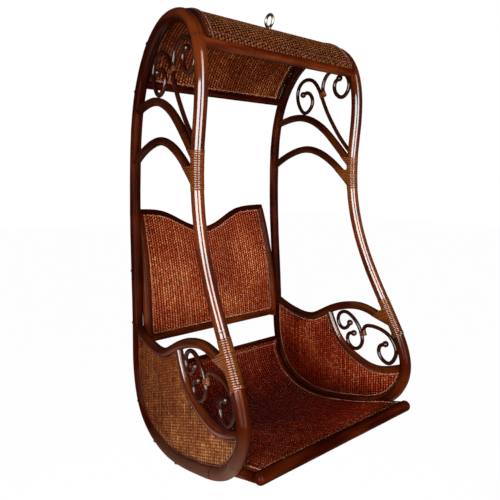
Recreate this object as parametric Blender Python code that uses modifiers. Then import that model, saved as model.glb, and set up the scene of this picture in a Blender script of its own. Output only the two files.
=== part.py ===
"""Hanging rattan chair: two bent side frames with a woven roof, back and seat between them.

Metres, +Z up, the front towards -Y. The origin is the middle of the hanging eye's hole.
Side pieces are drawn in the plane of a side frame: first coordinate towards the back, second up.
"""
import math

import bmesh
import bpy
import numpy as np
from mathutils import Matrix, Vector

GAP = 0.0003                    # between pieces that touch
BEARING_GAP = 0.00011           # round the eye bolt's shank

# Side frames
HALF_WIDTH = 0.2748             # from the middle to a side pole's axis, at the height of the eye
SPLAY = 0.032                   # how far a side frame leans out, per metre downward
POLE_D = 0.034
REAR_Y = 0.325                  # axis of the side pole's rear stretch
FRONT_Y = -0.078                # axis of its front stretch
TOE_Y = -0.303                  # axis at its foremost bend
CROWN_Y = 0.080
CROWN_Z = -0.028                # axis at the top of the arch
BOTTOM_Z = -1.262               # axis at its lowest point
WAIST_Z = BOTTOM_Z + 0.573 * (CROWN_Z - BOTTOM_Z)   # where the front stretch starts to swing forward
BRACE_D = 0.024
UPPER_BRACE_Z = -0.229          # crown of the upper brace
LOWER_BRACE_Z = -0.342          # crown of the lower brace
ARM_D = 0.027
ARM_Z = BOTTOM_Z + 0.327        # arm rail at the rear stretch
INNER_RAIL_D = 0.023
CANE_D = 0.0126                 # strut and scrolls
SCROLL_BEND = 21                # degrees between the straight runs a scroll is drawn with
BALL_D = 0.021
PANEL_T = 0.005                 # woven sheets

# Cane bindings
STRIP_W = 0.0072
STRIP_T = 0.002
TIE_W = 0.0044
BRACE_TURNS = 11
ARM_TURNS = 12
TIE_TURNS = 3

# Roof
ROOF_FRONT_Z = -0.118
ROOF_REAR_Z = -0.165
ROOF_FRONT_D = 0.030
ROOF_REAR_D = 0.022
RIB_D = 0.013
RIB_RISE = 0.0135               # rib axis above the side pole's axis
VAULT_RISE = 0.016              # middle of the woven vault above it
BEAM_D = 0.026

# Hanging eye
RING_R = 0.0165                 # to the middle of the wire
WIRE_D = 0.008
NECK_D = 0.012
SHANK_D = 0.008
WASHER_D = 0.026
WASHER_T = 0.002
NUT_AF = 0.013
NUT_H = 0.0065

# Back
STILE_D = 0.032
BACK_RAIL_D = 0.020             # rail along the top
BACK_FOOT_D = 0.028
BACK_FOOT_Y = 0.298
BACK_FOOT_Z = BOTTOM_Z + 0.279
BACK_TOP_Z = BACK_FOOT_Z + 0.424
BACK_DIP = 0.0755               # how far the top rail's middle dips
BACK_CURVE = 0.45               # how fast the back curves to the rear, going up
BACK_BOW = 0.040                # how far the middle of its top is set behind the sides
STILE_SET = 0.007               # axis of the stiles behind the woven back

# Seat
SEAT_RAIL_D = 0.024
SEAT_REAR_D = 0.022
SEAT_FRONT_D = 0.032
SEAT_REAR_Y = 0.290
SEAT_REAR_Z = BOTTOM_Z + 0.162
SEAT_FRONT_Y = -0.328
SEAT_FRONT_Z = BOTTOM_Z + 0.132
SEAT_FRONT_L = 0.582
SEAT_RISE = 0.008               # woven seat above the axis of its side rails
CROSS_BAR_D = 0.018
CROSS_BAR_Y = (0.150, -0.015)

SIDE_LOOP = [
    (FRONT_Y - 0.014, WAIST_Z), (FRONT_Y, WAIST_Z + 0.165), (FRONT_Y - 0.0135, CROWN_Z - 0.162),
    (FRONT_Y + 0.028, CROWN_Z - 0.048), (CROWN_Y, CROWN_Z), (REAR_Y - 0.131, CROWN_Z - 0.048),
    (REAR_Y - 0.034, CROWN_Z - 0.194), (REAR_Y - 0.004, CROWN_Z - 0.372), (REAR_Y, CROWN_Z - 0.592),
    (REAR_Y - 0.012, BOTTOM_Z + 0.302), (REAR_Y - 0.021, BOTTOM_Z + 0.154), (REAR_Y - 0.075, BOTTOM_Z + 0.050),
    (TOE_Y + 0.398, BOTTOM_Z), (TOE_Y + 0.193, BOTTOM_Z + 0.046), (TOE_Y + 0.060, BOTTOM_Z + 0.112),
    (TOE_Y, BOTTOM_Z + 0.232), (TOE_Y + 0.049, BOTTOM_Z + 0.370), (FRONT_Y - 0.077, WAIST_Z - 0.167),
]

for leftover in list(bpy.data.objects):
    bpy.data.objects.remove(leftover)
HELPERS = bpy.data.collections.new("helpers")
bpy.context.scene.collection.children.link(HELPERS)


def half_width(z):
    return HALF_WIDTH - SPLAY * z


def smooth(points, closed=False, step=0.003):
    """Close-set points along the cubic spline through the given ones."""
    knots = np.array(points, float)
    if closed:
        knots = np.vstack([knots, knots[:1]])
    run = np.linalg.norm(np.diff(knots, axis=0), axis=1)
    slope = np.diff(knots, axis=0) / run[:, None]
    last = len(run)
    size = last if closed else last + 1
    system = np.zeros((size, size))
    right = np.zeros((size, knots.shape[1]))
    for i in range(size):
        if not closed and i in (0, last):
            system[i, i] = 2
            system[i, 1 if i == 0 else last - 1] = 1
            right[i] = 3 * slope[0 if i == 0 else last - 1]
            continue
        before, after = run[i - 1], run[i % last]
        system[i, (i - 1) % size] += after
        system[i, i] += 2 * (before + after)
        system[i, (i + 1) % size] += before
        right[i] = 3 * (after * slope[i - 1] + before * slope[i % last])
    tangent = np.linalg.solve(system, right)
    path = []
    for i in range(last):
        start, end = knots[i], knots[i + 1]
        leave, arrive = tangent[i] * run[i], tangent[(i + 1) % size] * run[i]
        pieces = max(2, round(run[i] / step))
        for t in np.arange(pieces) / pieces:
            path.append(start * (2 * t**3 - 3 * t**2 + 1) + leave * (t**3 - 2 * t**2 + t)
                        + end * (3 * t**2 - 2 * t**3) + arrive * (t**3 - t**2))
    path.append(knots[-1])
    return np.array(path)


def thin(path, turn=11, reach=0.09):
    """Fewer points of a path: one for each few degrees of bend."""
    kept, bend = [path[0]], 0
    for before, here, after in zip(path, path[1:], path[2:]):
        into, out = here - before, after - here
        cosine = into @ out / (np.linalg.norm(into) * np.linalg.norm(out))
        bend += math.degrees(math.acos(min(1, cosine)))
        if bend >= turn or np.linalg.norm(here - kept[-1]) >= reach:
            kept.append(here)
            bend = 0
    if np.linalg.norm(path[-1] - kept[-1]) < 0.004:
        kept.pop()
    return np.array(kept + [path[-1]])


def offset(path, distance):
    """A flat path moved sideways: outward for a stretch of the side loop."""
    along = np.gradient(path, axis=0)
    along /= np.linalg.norm(along, axis=1)[:, None]
    return path + distance * np.column_stack([-along[:, 1], along[:, 0]])


def at_height(path, z, rear=False):
    """First coordinate where the path passes a height, in front or at the rear."""
    low = path[:, 1] < z
    i = np.nonzero(low[:-1] != low[1:])[0]
    share = (z - path[i, 1]) / (path[i + 1, 1] - path[i, 1])
    y = path[i, 0] + share * (path[i + 1, 0] - path[i, 0])
    return y.max() if rear else y.min()


def height_at(path, y):
    order = np.argsort(path[:, 0])
    return float(np.interp(y, path[order, 0], path[order, 1]))


def lift(path, inward=0.0):
    return [(float(p[0]), float(p[1]), inward) for p in path]


def empty(name, matrix):
    frame = bpy.data.objects.new(name, None)
    bpy.context.scene.collection.objects.link(frame)
    frame.matrix_world = matrix
    return frame


def side_plane(side):
    lean = math.atan(SPLAY)
    back = Vector((0, 1, 0))
    up = Vector((-side * math.sin(lean), 0, math.cos(lean)))
    matrix = Matrix((back, up, back.cross(up))).transposed().to_4x4()
    matrix.translation = (side * HALF_WIDTH, 0, 0)
    return matrix


def paint(name, colour, roughness, metallic=0.0):
    material = bpy.data.materials.new(name)
    material.use_nodes = True
    shader = material.node_tree.nodes["Principled BSDF"]
    shader.inputs["Base Color"].default_value = (*colour, 1)
    shader.inputs["Roughness"].default_value = roughness
    shader.inputs["Metallic"].default_value = metallic
    material.diffuse_color = (*colour, 1)
    return material


POLE = ((0.16, 0.036, 0.012), 0.3)
SLIM = ((0.18, 0.042, 0.014), 0.32)
WEAVE = ((0.26, 0.085, 0.028), 0.45)
BINDING = ((0.22, 0.07, 0.02), 0.4)
STEEL = ((0.45, 0.44, 0.42), 0.35, 1.0)


def place(name, mesh, parent, look=None):
    piece = bpy.data.objects.new(name, mesh)
    if look:
        bpy.context.scene.collection.objects.link(piece)
        mesh.materials.append(paint(name, *look))
    else:
        HELPERS.objects.link(piece)
        piece.hide_render = True
        piece.display_type = "WIRE"
    piece.parent = parent
    return piece


def bar(points, diameter, closed=False, sides=8, radii=None):
    """Mesh of a round bar along a path."""
    curve = bpy.data.curves.new("bar", "CURVE")
    curve.dimensions = "3D"
    curve.bevel_depth = diameter / 2
    curve.bevel_resolution = (sides - 4) // 2
    curve.use_fill_caps = True
    line = curve.splines.new("POLY")
    line.points.add(len(points) - 1)
    for i, (knot, point) in enumerate(zip(line.points, points)):
        knot.co = (*point, 1)
        knot.radius = radii[i] if radii else 1
    line.use_cyclic_u = closed
    return baked(curve)


def baked(curve):
    drawn = bpy.data.objects.new("drawn", curve)
    bpy.context.scene.collection.objects.link(drawn)
    evaluated = drawn.evaluated_get(bpy.context.evaluated_depsgraph_get())
    mesh = bpy.data.meshes.new_from_object(evaluated)
    bpy.data.objects.remove(drawn)
    shape = bmesh.new()
    shape.from_mesh(mesh)
    bmesh.ops.remove_doubles(shape, verts=shape.verts, dist=1e-6)
    bmesh.ops.recalc_face_normals(shape, faces=shape.faces)
    shape.to_mesh(mesh)
    shape.free()
    mesh.materials.clear()
    return mesh


def sheet(outline, thickness):
    """Mesh of a flat plate with the given outline."""
    curve = bpy.data.curves.new("sheet", "CURVE")
    curve.dimensions = "2D"
    curve.fill_mode = "BOTH"
    curve.extrude = thickness / 2
    line = curve.splines.new("POLY")
    line.points.add(len(outline) - 1)
    for knot, point in zip(line.points, outline):
        knot.co = (point[0], point[1], 0, 1)
    line.use_cyclic_u = True
    return baked(curve)


def grid(rows):
    """Mesh of an open surface through rows of points."""
    shape = bmesh.new()
    corners = [[shape.verts.new(point) for point in row] for row in rows]
    for near, far in zip(corners, corners[1:]):
        for i in range(len(near) - 1):
            shape.faces.new((near[i], near[i + 1], far[i + 1], far[i]))
    mesh = bpy.data.meshes.new("grid")
    shape.to_mesh(mesh)
    shape.free()
    return mesh


def thicken(piece, thickness):
    change = piece.modifiers.new("thickness", "SOLIDIFY")
    change.thickness = thickness
    change.offset = 0
    change.use_even_offset = True


def turned(radius, depth, centre, sides=24):
    """Mesh of an upright cylinder."""
    shape = bmesh.new()
    bmesh.ops.create_cone(shape, cap_ends=True, segments=sides, radius1=radius, radius2=radius, depth=depth,
                          matrix=Matrix.Translation(centre))
    mesh = bpy.data.meshes.new("turned")
    shape.to_mesh(mesh)
    shape.free()
    return mesh


def ball(centre, parent):
    shape = bmesh.new()
    bmesh.ops.create_uvsphere(shape, u_segments=8, v_segments=6, radius=BALL_D / 2,
                              matrix=Matrix.Translation(centre))
    mesh = bpy.data.meshes.new("ball")
    shape.to_mesh(mesh)
    shape.free()
    return place("ball", mesh, parent)


def cut(piece, *tools, operation="DIFFERENCE"):
    for tool in tools:
        change = piece.modifiers.new(tool.name, "BOOLEAN")
        change.operation = operation
        change.solver = "EXACT"
        change.object = tool


def room(points, diameter, parent, closed=False, sides=8):
    """Cutter that leaves a fitting gap round a bar."""
    return place("room", bar(points, diameter + 2 * GAP, closed, sides), parent)


LOOP = thin(smooth(SIDE_LOOP, closed=True), turn=11)
LOOP_BAR = lift(LOOP[:-1])


def front_pole(z):
    return at_height(LOOP, z)


def rear_pole(z):
    return at_height(LOOP, z, rear=True)


def between(front, rear, shares):
    return [(front + share * (rear - front), z) for share, z in shares]


def brace_path(crown, rear_z, front_z, shares):
    rear, front = rear_pole(rear_z), front_pole(front_z)
    middle = between(front, rear, [(share, crown - drop) for share, drop in shares])
    return smooth([(rear, rear_z)] + middle + [(front, front_z)])


UPPER = brace_path(UPPER_BRACE_Z, UPPER_BRACE_Z - 0.014, UPPER_BRACE_Z - 0.176,
                   [(0.835, 0.002), (0.65, 0), (0.476, 0.019), (0.332, 0.053), (0.2, 0.099)])
LOWER = brace_path(LOWER_BRACE_Z, LOWER_BRACE_Z - 0.058, LOWER_BRACE_Z - 0.127,
                   [(0.8725, 0.032), (0.71, 0.009), (0.5225, 0), (0.3725, 0.015), (0.2325, 0.046), (0.1075, 0.086)])
ARM_FRONT_Z = ARM_Z + 0.042
ARM = smooth([(rear_pole(ARM_Z), ARM_Z)]
             + between(front_pole(ARM_FRONT_Z), rear_pole(ARM_Z),
                       [(0.879, ARM_Z - 0.020), (0.756, ARM_Z - 0.031), (0.638, ARM_Z - 0.026),
                        (0.536, ARM_Z + 0.003), (0.430, ARM_Z + 0.036), (0.316, ARM_Z + 0.059),
                        (0.210, ARM_Z + 0.066), (0.1136, ARM_Z + 0.056)])
             + [(front_pole(ARM_FRONT_Z), ARM_FRONT_Z)])
INNER_Y = 0.020
INNER_Z = ARM_Z - 0.087
INNER = smooth([(INNER_Y, height_at(ARM, INNER_Y))]
               + between(INNER_Y, front_pole(INNER_Z),
                         [(0.081, ARM_Z - 0.033), (0.171, ARM_Z - 0.073), (0.289, ARM_Z - 0.101),
                          (0.441, ARM_Z - 0.121), (0.596, ARM_Z - 0.131), (0.733, ARM_Z - 0.126),
                          (0.876, ARM_Z - 0.108)])
               + [(front_pole(INNER_Z), INNER_Z)])


def fill(path):
    """Points each millimetre along straight runs."""
    along = np.concatenate([[0], np.cumsum(np.linalg.norm(np.diff(path, axis=0), axis=1))])
    runs = np.arange(0, along[-1], 0.001)
    return np.column_stack([np.interp(runs, along, path[:, 0]), np.interp(runs, along, path[:, 1])])


def raised(points, z):
    return [(y, z + rise) for y, rise in points]


def resting(points, spot, path, diameter, away, lead=(), closer=0.0):
    """Scroll points moved along one direction until the one named rests on a bar with a fitting gap."""
    path = fill(path)
    points = [np.array(point, float) for point in points]
    reach = (diameter + CANE_D) / 2 + GAP - closer
    low, high = -0.03, 0.03
    for _ in range(40):
        shift = (low + high) / 2 * np.array(away)
        curve = fill(thin(smooth(list(lead) + [point + shift for point in points]), SCROLL_BEND))
        near = curve[np.linalg.norm(curve - (points[spot] + shift), axis=1) < 0.03]
        least = np.linalg.norm(near[:, None] - path[None], axis=2).min()
        if least < reach:
            low = (low + high) / 2
        else:
            high = (low + high) / 2
    return list(lead) + [tuple(point + high * np.array(away)) for point in points]


STRUT_Z = UPPER_BRACE_Z - 0.143
STRUT = resting([(0.100, -0.113), (0.127, -0.103), (0.156, -0.108), (0.177, -0.130), (0.181, -0.158),
                 (0.170, -0.190), (0.144, -0.2134), (0.116, -0.202), (0.105, -0.178), (0.114, -0.156),
                 (0.134, -0.146), (0.152, -0.151)], 6, thin(UPPER), BRACE_D, (0, 1),
                [(front_pole(STRUT_Z), STRUT_Z), (FRONT_Y + 0.056, UPPER_BRACE_Z - 0.080),
                 (FRONT_Y + 0.088, UPPER_BRACE_Z - 0.035), (FRONT_Y + 0.114, UPPER_BRACE_Z + 0.007),
                 (0.062, -0.168), (0.079, -0.137)])
TIE_AT = np.array((0.062, -0.168))
TIE_ALONG = np.array((0.48, 0.877))
TIE_ACROSS = np.array((-0.877, 0.48)) * (CANE_D + 2 * GAP)
FRONT_SCROLL = resting([(-0.030, -0.101), (-0.054, -0.120), (-0.066, -0.147), (-0.058, -0.172), (-0.037, -0.184),
                        (-0.014, -0.173), (-0.003, -0.149), (-0.009, -0.131), (-0.025, -0.125)],
                       2, LOOP, POLE_D, (1, 0),
                       [tuple(TIE_AT + TIE_ACROSS - 0.009 * TIE_ALONG), tuple(TIE_AT + TIE_ACROSS + 0.008 * TIE_ALONG),
                        (0.0545, -0.135), (0.044, -0.113), (0.024, -0.098), (-0.002, -0.094)], 0.0004)
S_SCROLL = resting(raised([(-0.079, 0), (-0.067, -0.02), (-0.048, -0.028), (-0.032, -0.018), (-0.026, 0.005),
                    (-0.038, 0.026), (-0.062, 0.0344), (-0.092, 0.023), (-0.116, 0.001), (-0.129, -0.022),
                    (-0.135, -0.047), (-0.126, -0.073), (-0.103, -0.087), (-0.079, -0.078), (-0.070, -0.058),
                    (-0.079, -0.039), (-0.098, -0.034)], ARM_Z), 6, thin(ARM), ARM_D, (0, -1))
KNOT = np.array(S_SCROLL[9])
KNOT_ALONG = np.array((0.37, 0.929))
KNOT_ACROSS = np.array((-0.929, 0.37)) * (CANE_D + 2 * GAP)
C_SCROLL = resting(raised([(-0.163, 0.007), (-0.184, 0.009), (-0.211, 0.0065), (-0.239, -0.004), (-0.258, -0.023),
                    (-0.2685, -0.048), (-0.262, -0.077), (-0.241, -0.0986), (-0.217, -0.092), (-0.203, -0.071),
                    (-0.208, -0.049), (-0.228, -0.038)], ARM_Z), 7, thin(INNER), INNER_RAIL_D, (0, 1),
                   [tuple(KNOT + KNOT_ACROSS * 1.03 - 0.012 * KNOT_ALONG),
                    tuple(KNOT + KNOT_ACROSS * 1.03 + 0.004 * KNOT_ALONG),
                    (KNOT[0] - 0.0115, KNOT[1] + 0.017), (KNOT[0] - 0.019, KNOT[1] + 0.028)])


def binding(name, side_frame, axis, turns, core, width, members, toward, look):
    """One flat cane wound round a pole and, as far as it grips them, round the pieces that join it."""
    axis = np.array(axis)
    along = np.concatenate([[0], np.cumsum(np.linalg.norm(np.diff(axis, axis=0), axis=1))])
    pitch = along[-1] / turns
    near_r = (core / 2 + GAP + STRIP_T / 2) / math.cos(math.radians(15)) + 0.018 * core

    def spot(s):
        return np.array([np.interp(s, along, axis[:, 0]), np.interp(s, along, axis[:, 1])])

    def station(s):
        step = spot(min(s + 0.004, along[-1])) - spot(max(s - 0.004, 0))
        step /= np.linalg.norm(step)
        return spot(s), step, np.array([-step[1], step[0]])

    def side_of(path, s):
        base, step, across = station(s)
        ahead = (path - base) @ step
        hits = np.nonzero((ahead[:-1] < 0) != (ahead[1:] < 0))[0]
        sides = (path[hits] - base) @ across
        return sides[np.argmin(abs(sides))] if len(hits) else 9.0

    points, runs = [], []
    for turn in range(turns):
        reach, far_r = near_r, near_r
        for path, diameter, grip, slack in members:
            if abs(side_of(path, (turn + 0.5) * pitch)) > grip:
                continue
            for edge in (-0.5, 0.5):
                far = toward * side_of(path, (turn + 0.5) * pitch + edge * width)
                if reach < far + slack < 1:
                    reach, far_r = far + slack, diameter / 2 + GAP + STRIP_T / 2 + 0.0016
        if reach - far_r < 0.8 * core:
            far_r = near_r
        for j, angle in enumerate((180, 210, 240, 270, 300, 340, 20, 60, 90, 120, 150)):
            run = (turn + j / 11) * pitch
            base, step, across = station(run)
            beyond = angle > 280 or angle < 80
            radius = far_r if beyond else near_r
            middle = max(0.0, reach - far_r) if beyond else 0.0
            flat = base + toward * across * (middle + radius * math.cos(math.radians(angle)))
            points.append(Vector((flat[0], flat[1], radius * math.sin(math.radians(angle)))))
            runs.append(run)
    rise = Vector((*(axis[-1] - axis[0]), 0)).normalized()
    out = Vector((0, 0, 1))
    frame = Matrix((out.cross(rise), out, rise)).transposed()
    curve = bpy.data.curves.new(name, "CURVE")
    curve.dimensions = "3D"
    curve.twist_mode = "Z_UP"
    curve.bevel_mode = "OBJECT"
    curve.bevel_object = profile(width)
    curve.use_fill_caps = True
    line = curve.splines.new("POLY")
    line.points.add(len(points) - 1)
    for knot, point in zip(line.points, points):
        knot.co = (*(frame.transposed() @ (point - points[0])), 1)
    mesh = baked(curve)
    piece = place(name, mesh, side_frame, look)
    piece.matrix_local = Matrix.Translation(points[0]) @ frame.to_4x4()
    least = min(b - a for a, b in zip(runs, runs[11:]))
    print(name, "turns", turns, "gap between turns mm", round((least - width) * 1000, 2))
    return piece


def around(path, centre, before, after):
    """Millimetres of a bent bar's axis before and after a point."""
    path = fill(path)
    i = np.argmin(np.linalg.norm(path - centre, axis=1))
    return path[i - before:i + after]


def run_on(path):
    """A path with a straight end added, past the axis of the pole it joins."""
    step = path[-1] - path[-2]
    return np.vstack([path, path[-1] + 0.06 * step / np.linalg.norm(step)])


def profile(width):
    curve = bpy.data.curves.new("strip", "CURVE")
    curve.dimensions = "2D"
    line = curve.splines.new("POLY")
    line.points.add(3)
    shape = [(0.5, 0.5), (-0.5, 0.5), (-0.5, -0.5), (0.5, -0.5)]
    for knot, (along, across) in zip(line.points, shape):
        knot.co = (across * STRIP_T, along * width, 0, 1)
    line.use_cyclic_u = True
    helper = bpy.data.objects.new("strip", curve)
    HELPERS.objects.link(helper)
    helper.hide_render = True
    helper.display_type = "WIRE"
    return helper


def stretch(path, start, end):
    """Part of the loop between two of its points, going round the way it is drawn."""
    first = np.argmin(np.linalg.norm(path - start, axis=1))
    last = np.argmin(np.linalg.norm(path - end, axis=1))
    return path[first:last + 1]


def front_stretch(low, high):
    """Axis of the front of the side pole between two heights."""
    return np.array([(front_pole(z), z) for z in np.linspace(low, high, 40)])


CHAIR = empty("chair", Matrix())


def side_frame(label, side):
    plane = empty(label + "_side", side_plane(side))
    plane.parent = CHAIR

    def piece(name, points, diameter, sides=8):
        return place(label + "_" + name, bar(lift(points), diameter, sides=sides), plane, SLIM)

    place(label + "_side_pole", bar(LOOP_BAR, POLE_D, closed=True, sides=12), plane, POLE)
    pole_room = room(LOOP_BAR, POLE_D, plane, closed=True, sides=12)

    cut(piece("upper_brace", thin(UPPER), BRACE_D), pole_room)
    cut(piece("lower_brace", thin(LOWER), BRACE_D), pole_room)
    cut(piece("arm_rail", thin(ARM), ARM_D), pole_room)
    arm_room = room(lift(thin(ARM)), ARM_D, plane)
    cut(piece("inner_rail", thin(INNER), INNER_RAIL_D), pole_room, arm_room)
    inner_room = room(lift(thin(INNER)), INNER_RAIL_D, plane)

    strut = piece("strut", thin(smooth(STRUT), SCROLL_BEND), CANE_D, sides=6)
    cut(strut, pole_room)
    cut(strut, ball((*STRUT[-1], 0), plane), operation="UNION")
    front = piece("front_scroll", thin(smooth(FRONT_SCROLL), SCROLL_BEND), CANE_D, sides=6)
    cut(front, ball((*FRONT_SCROLL[-1], 0), plane), operation="UNION")
    double = piece("s_scroll", thin(smooth(S_SCROLL), SCROLL_BEND), CANE_D, sides=6)
    cut(double, ball((*S_SCROLL[0], 0), plane), ball((*S_SCROLL[-1], 0), plane), operation="UNION")
    single = piece("c_scroll", thin(smooth(C_SCROLL), SCROLL_BEND), CANE_D, sides=6)
    cut(single, ball((*C_SCROLL[-1], 0), plane), operation="UNION")

    hem = stretch(LOOP, (rear_pole(ARM_Z), ARM_Z), (front_pole(INNER_Z), INNER_Z))
    fringe = thin(INNER)[::-1]
    rim = thin(ARM[ARM[:, 0] > INNER_Y])[::-1]
    panel = place(label + "_woven_side", sheet(np.vstack([hem, fringe, rim]), PANEL_T), plane, WEAVE)
    cut(panel, pole_room, arm_room, inner_room)

    over = 0.5 * BRACE_D / math.sin(math.radians(43)) + 0.0045
    binding(label + "_brace_binding", plane, front_stretch(LOWER_BRACE_Z - 0.136, UPPER_BRACE_Z - 0.146),
            BRACE_TURNS, POLE_D, STRIP_W,
            [(run_on(LOWER), BRACE_D, 0.060, over), (run_on(UPPER), BRACE_D, 0.046, over)], -1, BINDING)
    over = 0.5 * ARM_D / math.sin(math.radians(42)) + 0.0028
    binding(label + "_arm_binding", plane, front_stretch(ARM_FRONT_Z - 0.042, ARM_FRONT_Z + 0.064),
            ARM_TURNS, POLE_D, STRIP_W, [(run_on(ARM), ARM_D, 0.050, over)], -1, BINDING)
    over = CANE_D / 2 + 0.0044
    binding(label + "_strut_tie", plane, around(thin(smooth(STRUT), SCROLL_BEND), TIE_AT, 8, 8), TIE_TURNS,
            CANE_D, TIE_W, [(fill(thin(smooth(FRONT_SCROLL), SCROLL_BEND))[:40], CANE_D, 0.02, over)], 1, BINDING)
    binding(label + "_scroll_tie", plane, around(thin(smooth(S_SCROLL), SCROLL_BEND)[::-1], KNOT, 10, 6), TIE_TURNS,
            CANE_D, TIE_W, [(fill(thin(smooth(C_SCROLL), SCROLL_BEND))[:40], CANE_D, 0.02, over)], 1, BINDING)
    return plane, pole_room


LEFT, LEFT_ROOM = side_frame("left", -1)
RIGHT, RIGHT_ROOM = side_frame("right", 1)


def across(name, y, z, diameter, look, sides=12, short=0.0):
    """Straight rail between the two side poles."""
    half = half_width(z) - short
    points = [(-half, y, z), (half, y, z)]
    rail = place(name, bar(points, diameter, sides=sides), CHAIR, look)
    return rail, room([(-half - 0.01, y, z), (half + 0.01, y, z)], diameter, CHAIR, sides=sides)


# Roof
front_y, rear_y = front_pole(ROOF_FRONT_Z), rear_pole(ROOF_REAR_Z)
front_rail, front_room = across("roof_front_rail", front_y, ROOF_FRONT_Z, ROOF_FRONT_D, POLE)
rear_rail, rear_room = across("roof_rear_rail", rear_y, ROOF_REAR_Z, ROOF_REAR_D, POLE)
cut(front_rail, LEFT_ROOM, RIGHT_ROOM)
cut(rear_rail, LEFT_ROOM, RIGHT_ROOM)
crown = LOOP[(LOOP[:, 1] > ROOF_REAR_Z) & ((LOOP[:, 1] > ROOF_FRONT_Z) | (LOOP[:, 0] > CROWN_Y))]
arch = np.vstack([[(front_y, ROOF_FRONT_Z)], crown, [(rear_y, ROOF_REAR_Z)]])
beam_z = height_at(arch, 0)
beam, beam_room = across("ridge_beam", 0, beam_z, BEAM_D, POLE)
rib_in = math.sqrt(((POLE_D + RIB_D) / 2 + GAP)**2 - RIB_RISE**2)
rib_path = offset(arch, RIB_RISE)
rib_rooms = []
for label, plane, inward in (("left", LEFT, rib_in), ("right", RIGHT, -rib_in)):
    rib = place(label + "_roof_rib", bar(lift(rib_path, inward), RIB_D), plane, SLIM)
    cut(rib, front_room, rear_room, beam_room)
    rib_rooms.append(room(lift(rib_path, inward), RIB_D, plane))
vault_path = offset(arch, VAULT_RISE)
vault = place("woven_roof", grid([[(-half_width(z) + rib_in, y, z), (half_width(z) - rib_in, y, z)]
                                  for y, z in vault_path]), CHAIR, WEAVE)
thicken(vault, PANEL_T)
shank_room = place("shank_room", turned(SHANK_D / 2 + BEARING_GAP, 0.2, (0, 0, beam_z)), CHAIR)
neck_room = place("neck_room", turned(NECK_D / 2 + GAP, 0.06, (0, 0, beam_z + BEAM_D / 2 + 0.028)), CHAIR)
cut(beam, LEFT_ROOM, RIGHT_ROOM, shank_room)
cut(vault, front_room, rear_room, *rib_rooms, neck_room)

# Hanging eye
EYE = empty("hanging_fitting", Matrix())
bpy.ops.mesh.primitive_torus_add(major_radius=RING_R, minor_radius=WIRE_D / 2, major_segments=22, minor_segments=8)
ring = bpy.context.object
ring_mesh = ring.data
ring_mesh.transform(Matrix.Rotation(math.pi / 2, 4, "Y"))
bpy.data.objects.remove(ring)
eye = place("eye_bolt", ring_mesh, EYE, STEEL)
neck_foot = beam_z + BEAM_D / 2 + GAP
neck_top = -RING_R - 0.0007
shank_foot = beam_z - BEAM_D / 2 - WASHER_T - NUT_H - 0.006
neck = turned(NECK_D / 2, neck_top - neck_foot, (0, 0, (neck_top + neck_foot) / 2), 18)
neck.transform(Matrix.Rotation(0.1, 4, "Z"))
shank_top = (neck_top + neck_foot) / 2
shank = turned(SHANK_D / 2, shank_top - shank_foot, (0, 0, (shank_top + shank_foot) / 2), 16)
shank.transform(Matrix.Rotation(0.17, 4, "Z"))
cut(eye, place("neck", neck, EYE), place("shank", shank, EYE), operation="UNION")
washer_top = beam_z - BEAM_D / 2 - GAP
washer = place("eye_washer", turned(WASHER_D / 2, WASHER_T, (0, 0, washer_top - WASHER_T / 2)), EYE, STEEL)
nut_top = washer_top - WASHER_T - GAP
nut = place("eye_nut", turned(NUT_AF / math.sqrt(3), NUT_H, (0, 0, nut_top - NUT_H / 2), 6), EYE, STEEL)
cut(washer, shank_room)
cut(nut, shank_room)

# Back
stile_in = (POLE_D + STILE_D) / 2 + GAP
top_half = half_width(BACK_TOP_Z) - stile_in


def back_y(x, z):
    rise = max(0, z - BACK_FOOT_Z)
    share = min(1, rise / (BACK_TOP_Z - BACK_FOOT_Z))
    return BACK_FOOT_Y + BACK_CURVE * rise**2 + BACK_BOW * share * (1 - (x / top_half)**2)


def stile(side, z):
    x = half_width(z) - stile_in
    rise = max(0, z - BACK_FOOT_Z)
    return (side * x, BACK_FOOT_Y + BACK_CURVE * rise**2 + STILE_SET, z)


half_rail = []
for share, drop in ((-1.02, 0), (-0.77, 0.057), (-0.617, 0.16), (-0.443, 0.437), (-0.289, 0.722), (-0.116, 0.947),
                    (0, 1)):
    x, z = share * top_half, BACK_TOP_Z - drop * BACK_DIP
    half_rail.append((x, back_y(x, z) + 0.003, z))
top_path = thin(smooth(half_rail + [(-x, y, z) for x, y, z in half_rail[-2::-1]]), 12)
top_points = [tuple(point) for point in top_path]
place("back_top_rail", bar(top_points, BACK_RAIL_D), CHAIR, SLIM)
top_room = room([(-0.30, *top_points[0][1:])] + top_points + [(0.30, *top_points[-1][1:])], BACK_RAIL_D, CHAIR)
stile_rooms = []
for label, side in (("left", -1), ("right", 1)):
    heights = [BACK_FOOT_Z - 0.018, *np.linspace(BACK_FOOT_Z + 0.03, BACK_TOP_Z - 0.006, 7)]
    stile_points = [stile(side, float(z)) for z in heights]
    post = place(label + "_back_stile", bar(stile_points, STILE_D, sides=10), CHAIR, POLE)
    cut(post, top_room)
    stile_rooms.append(room(stile_points, STILE_D, CHAIR, sides=10))
foot_end = half_width(BACK_FOOT_Z) - stile_in - 0.006
foot_points = [(-foot_end, BACK_FOOT_Y + 0.003, BACK_FOOT_Z), (foot_end, BACK_FOOT_Y + 0.003, BACK_FOOT_Z)]
foot = place("back_foot_rail", bar(foot_points, BACK_FOOT_D), CHAIR, SLIM)
cut(foot, *stile_rooms)
foot_room = room(foot_points, BACK_FOOT_D, CHAIR)
rows = []
for level in np.linspace(0, 1, 7):
    row = []
    for share in np.linspace(-1, 1, 9):
        z_top = float(np.interp(share * top_half, top_path[:, 0], top_path[:, 2])) - 0.002
        z = BACK_FOOT_Z + 0.004 + level * (z_top - BACK_FOOT_Z - 0.004)
        row.append((share * (half_width(z) - stile_in - 0.003), back_y(share * top_half, z), z))
    rows.append(row)
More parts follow.
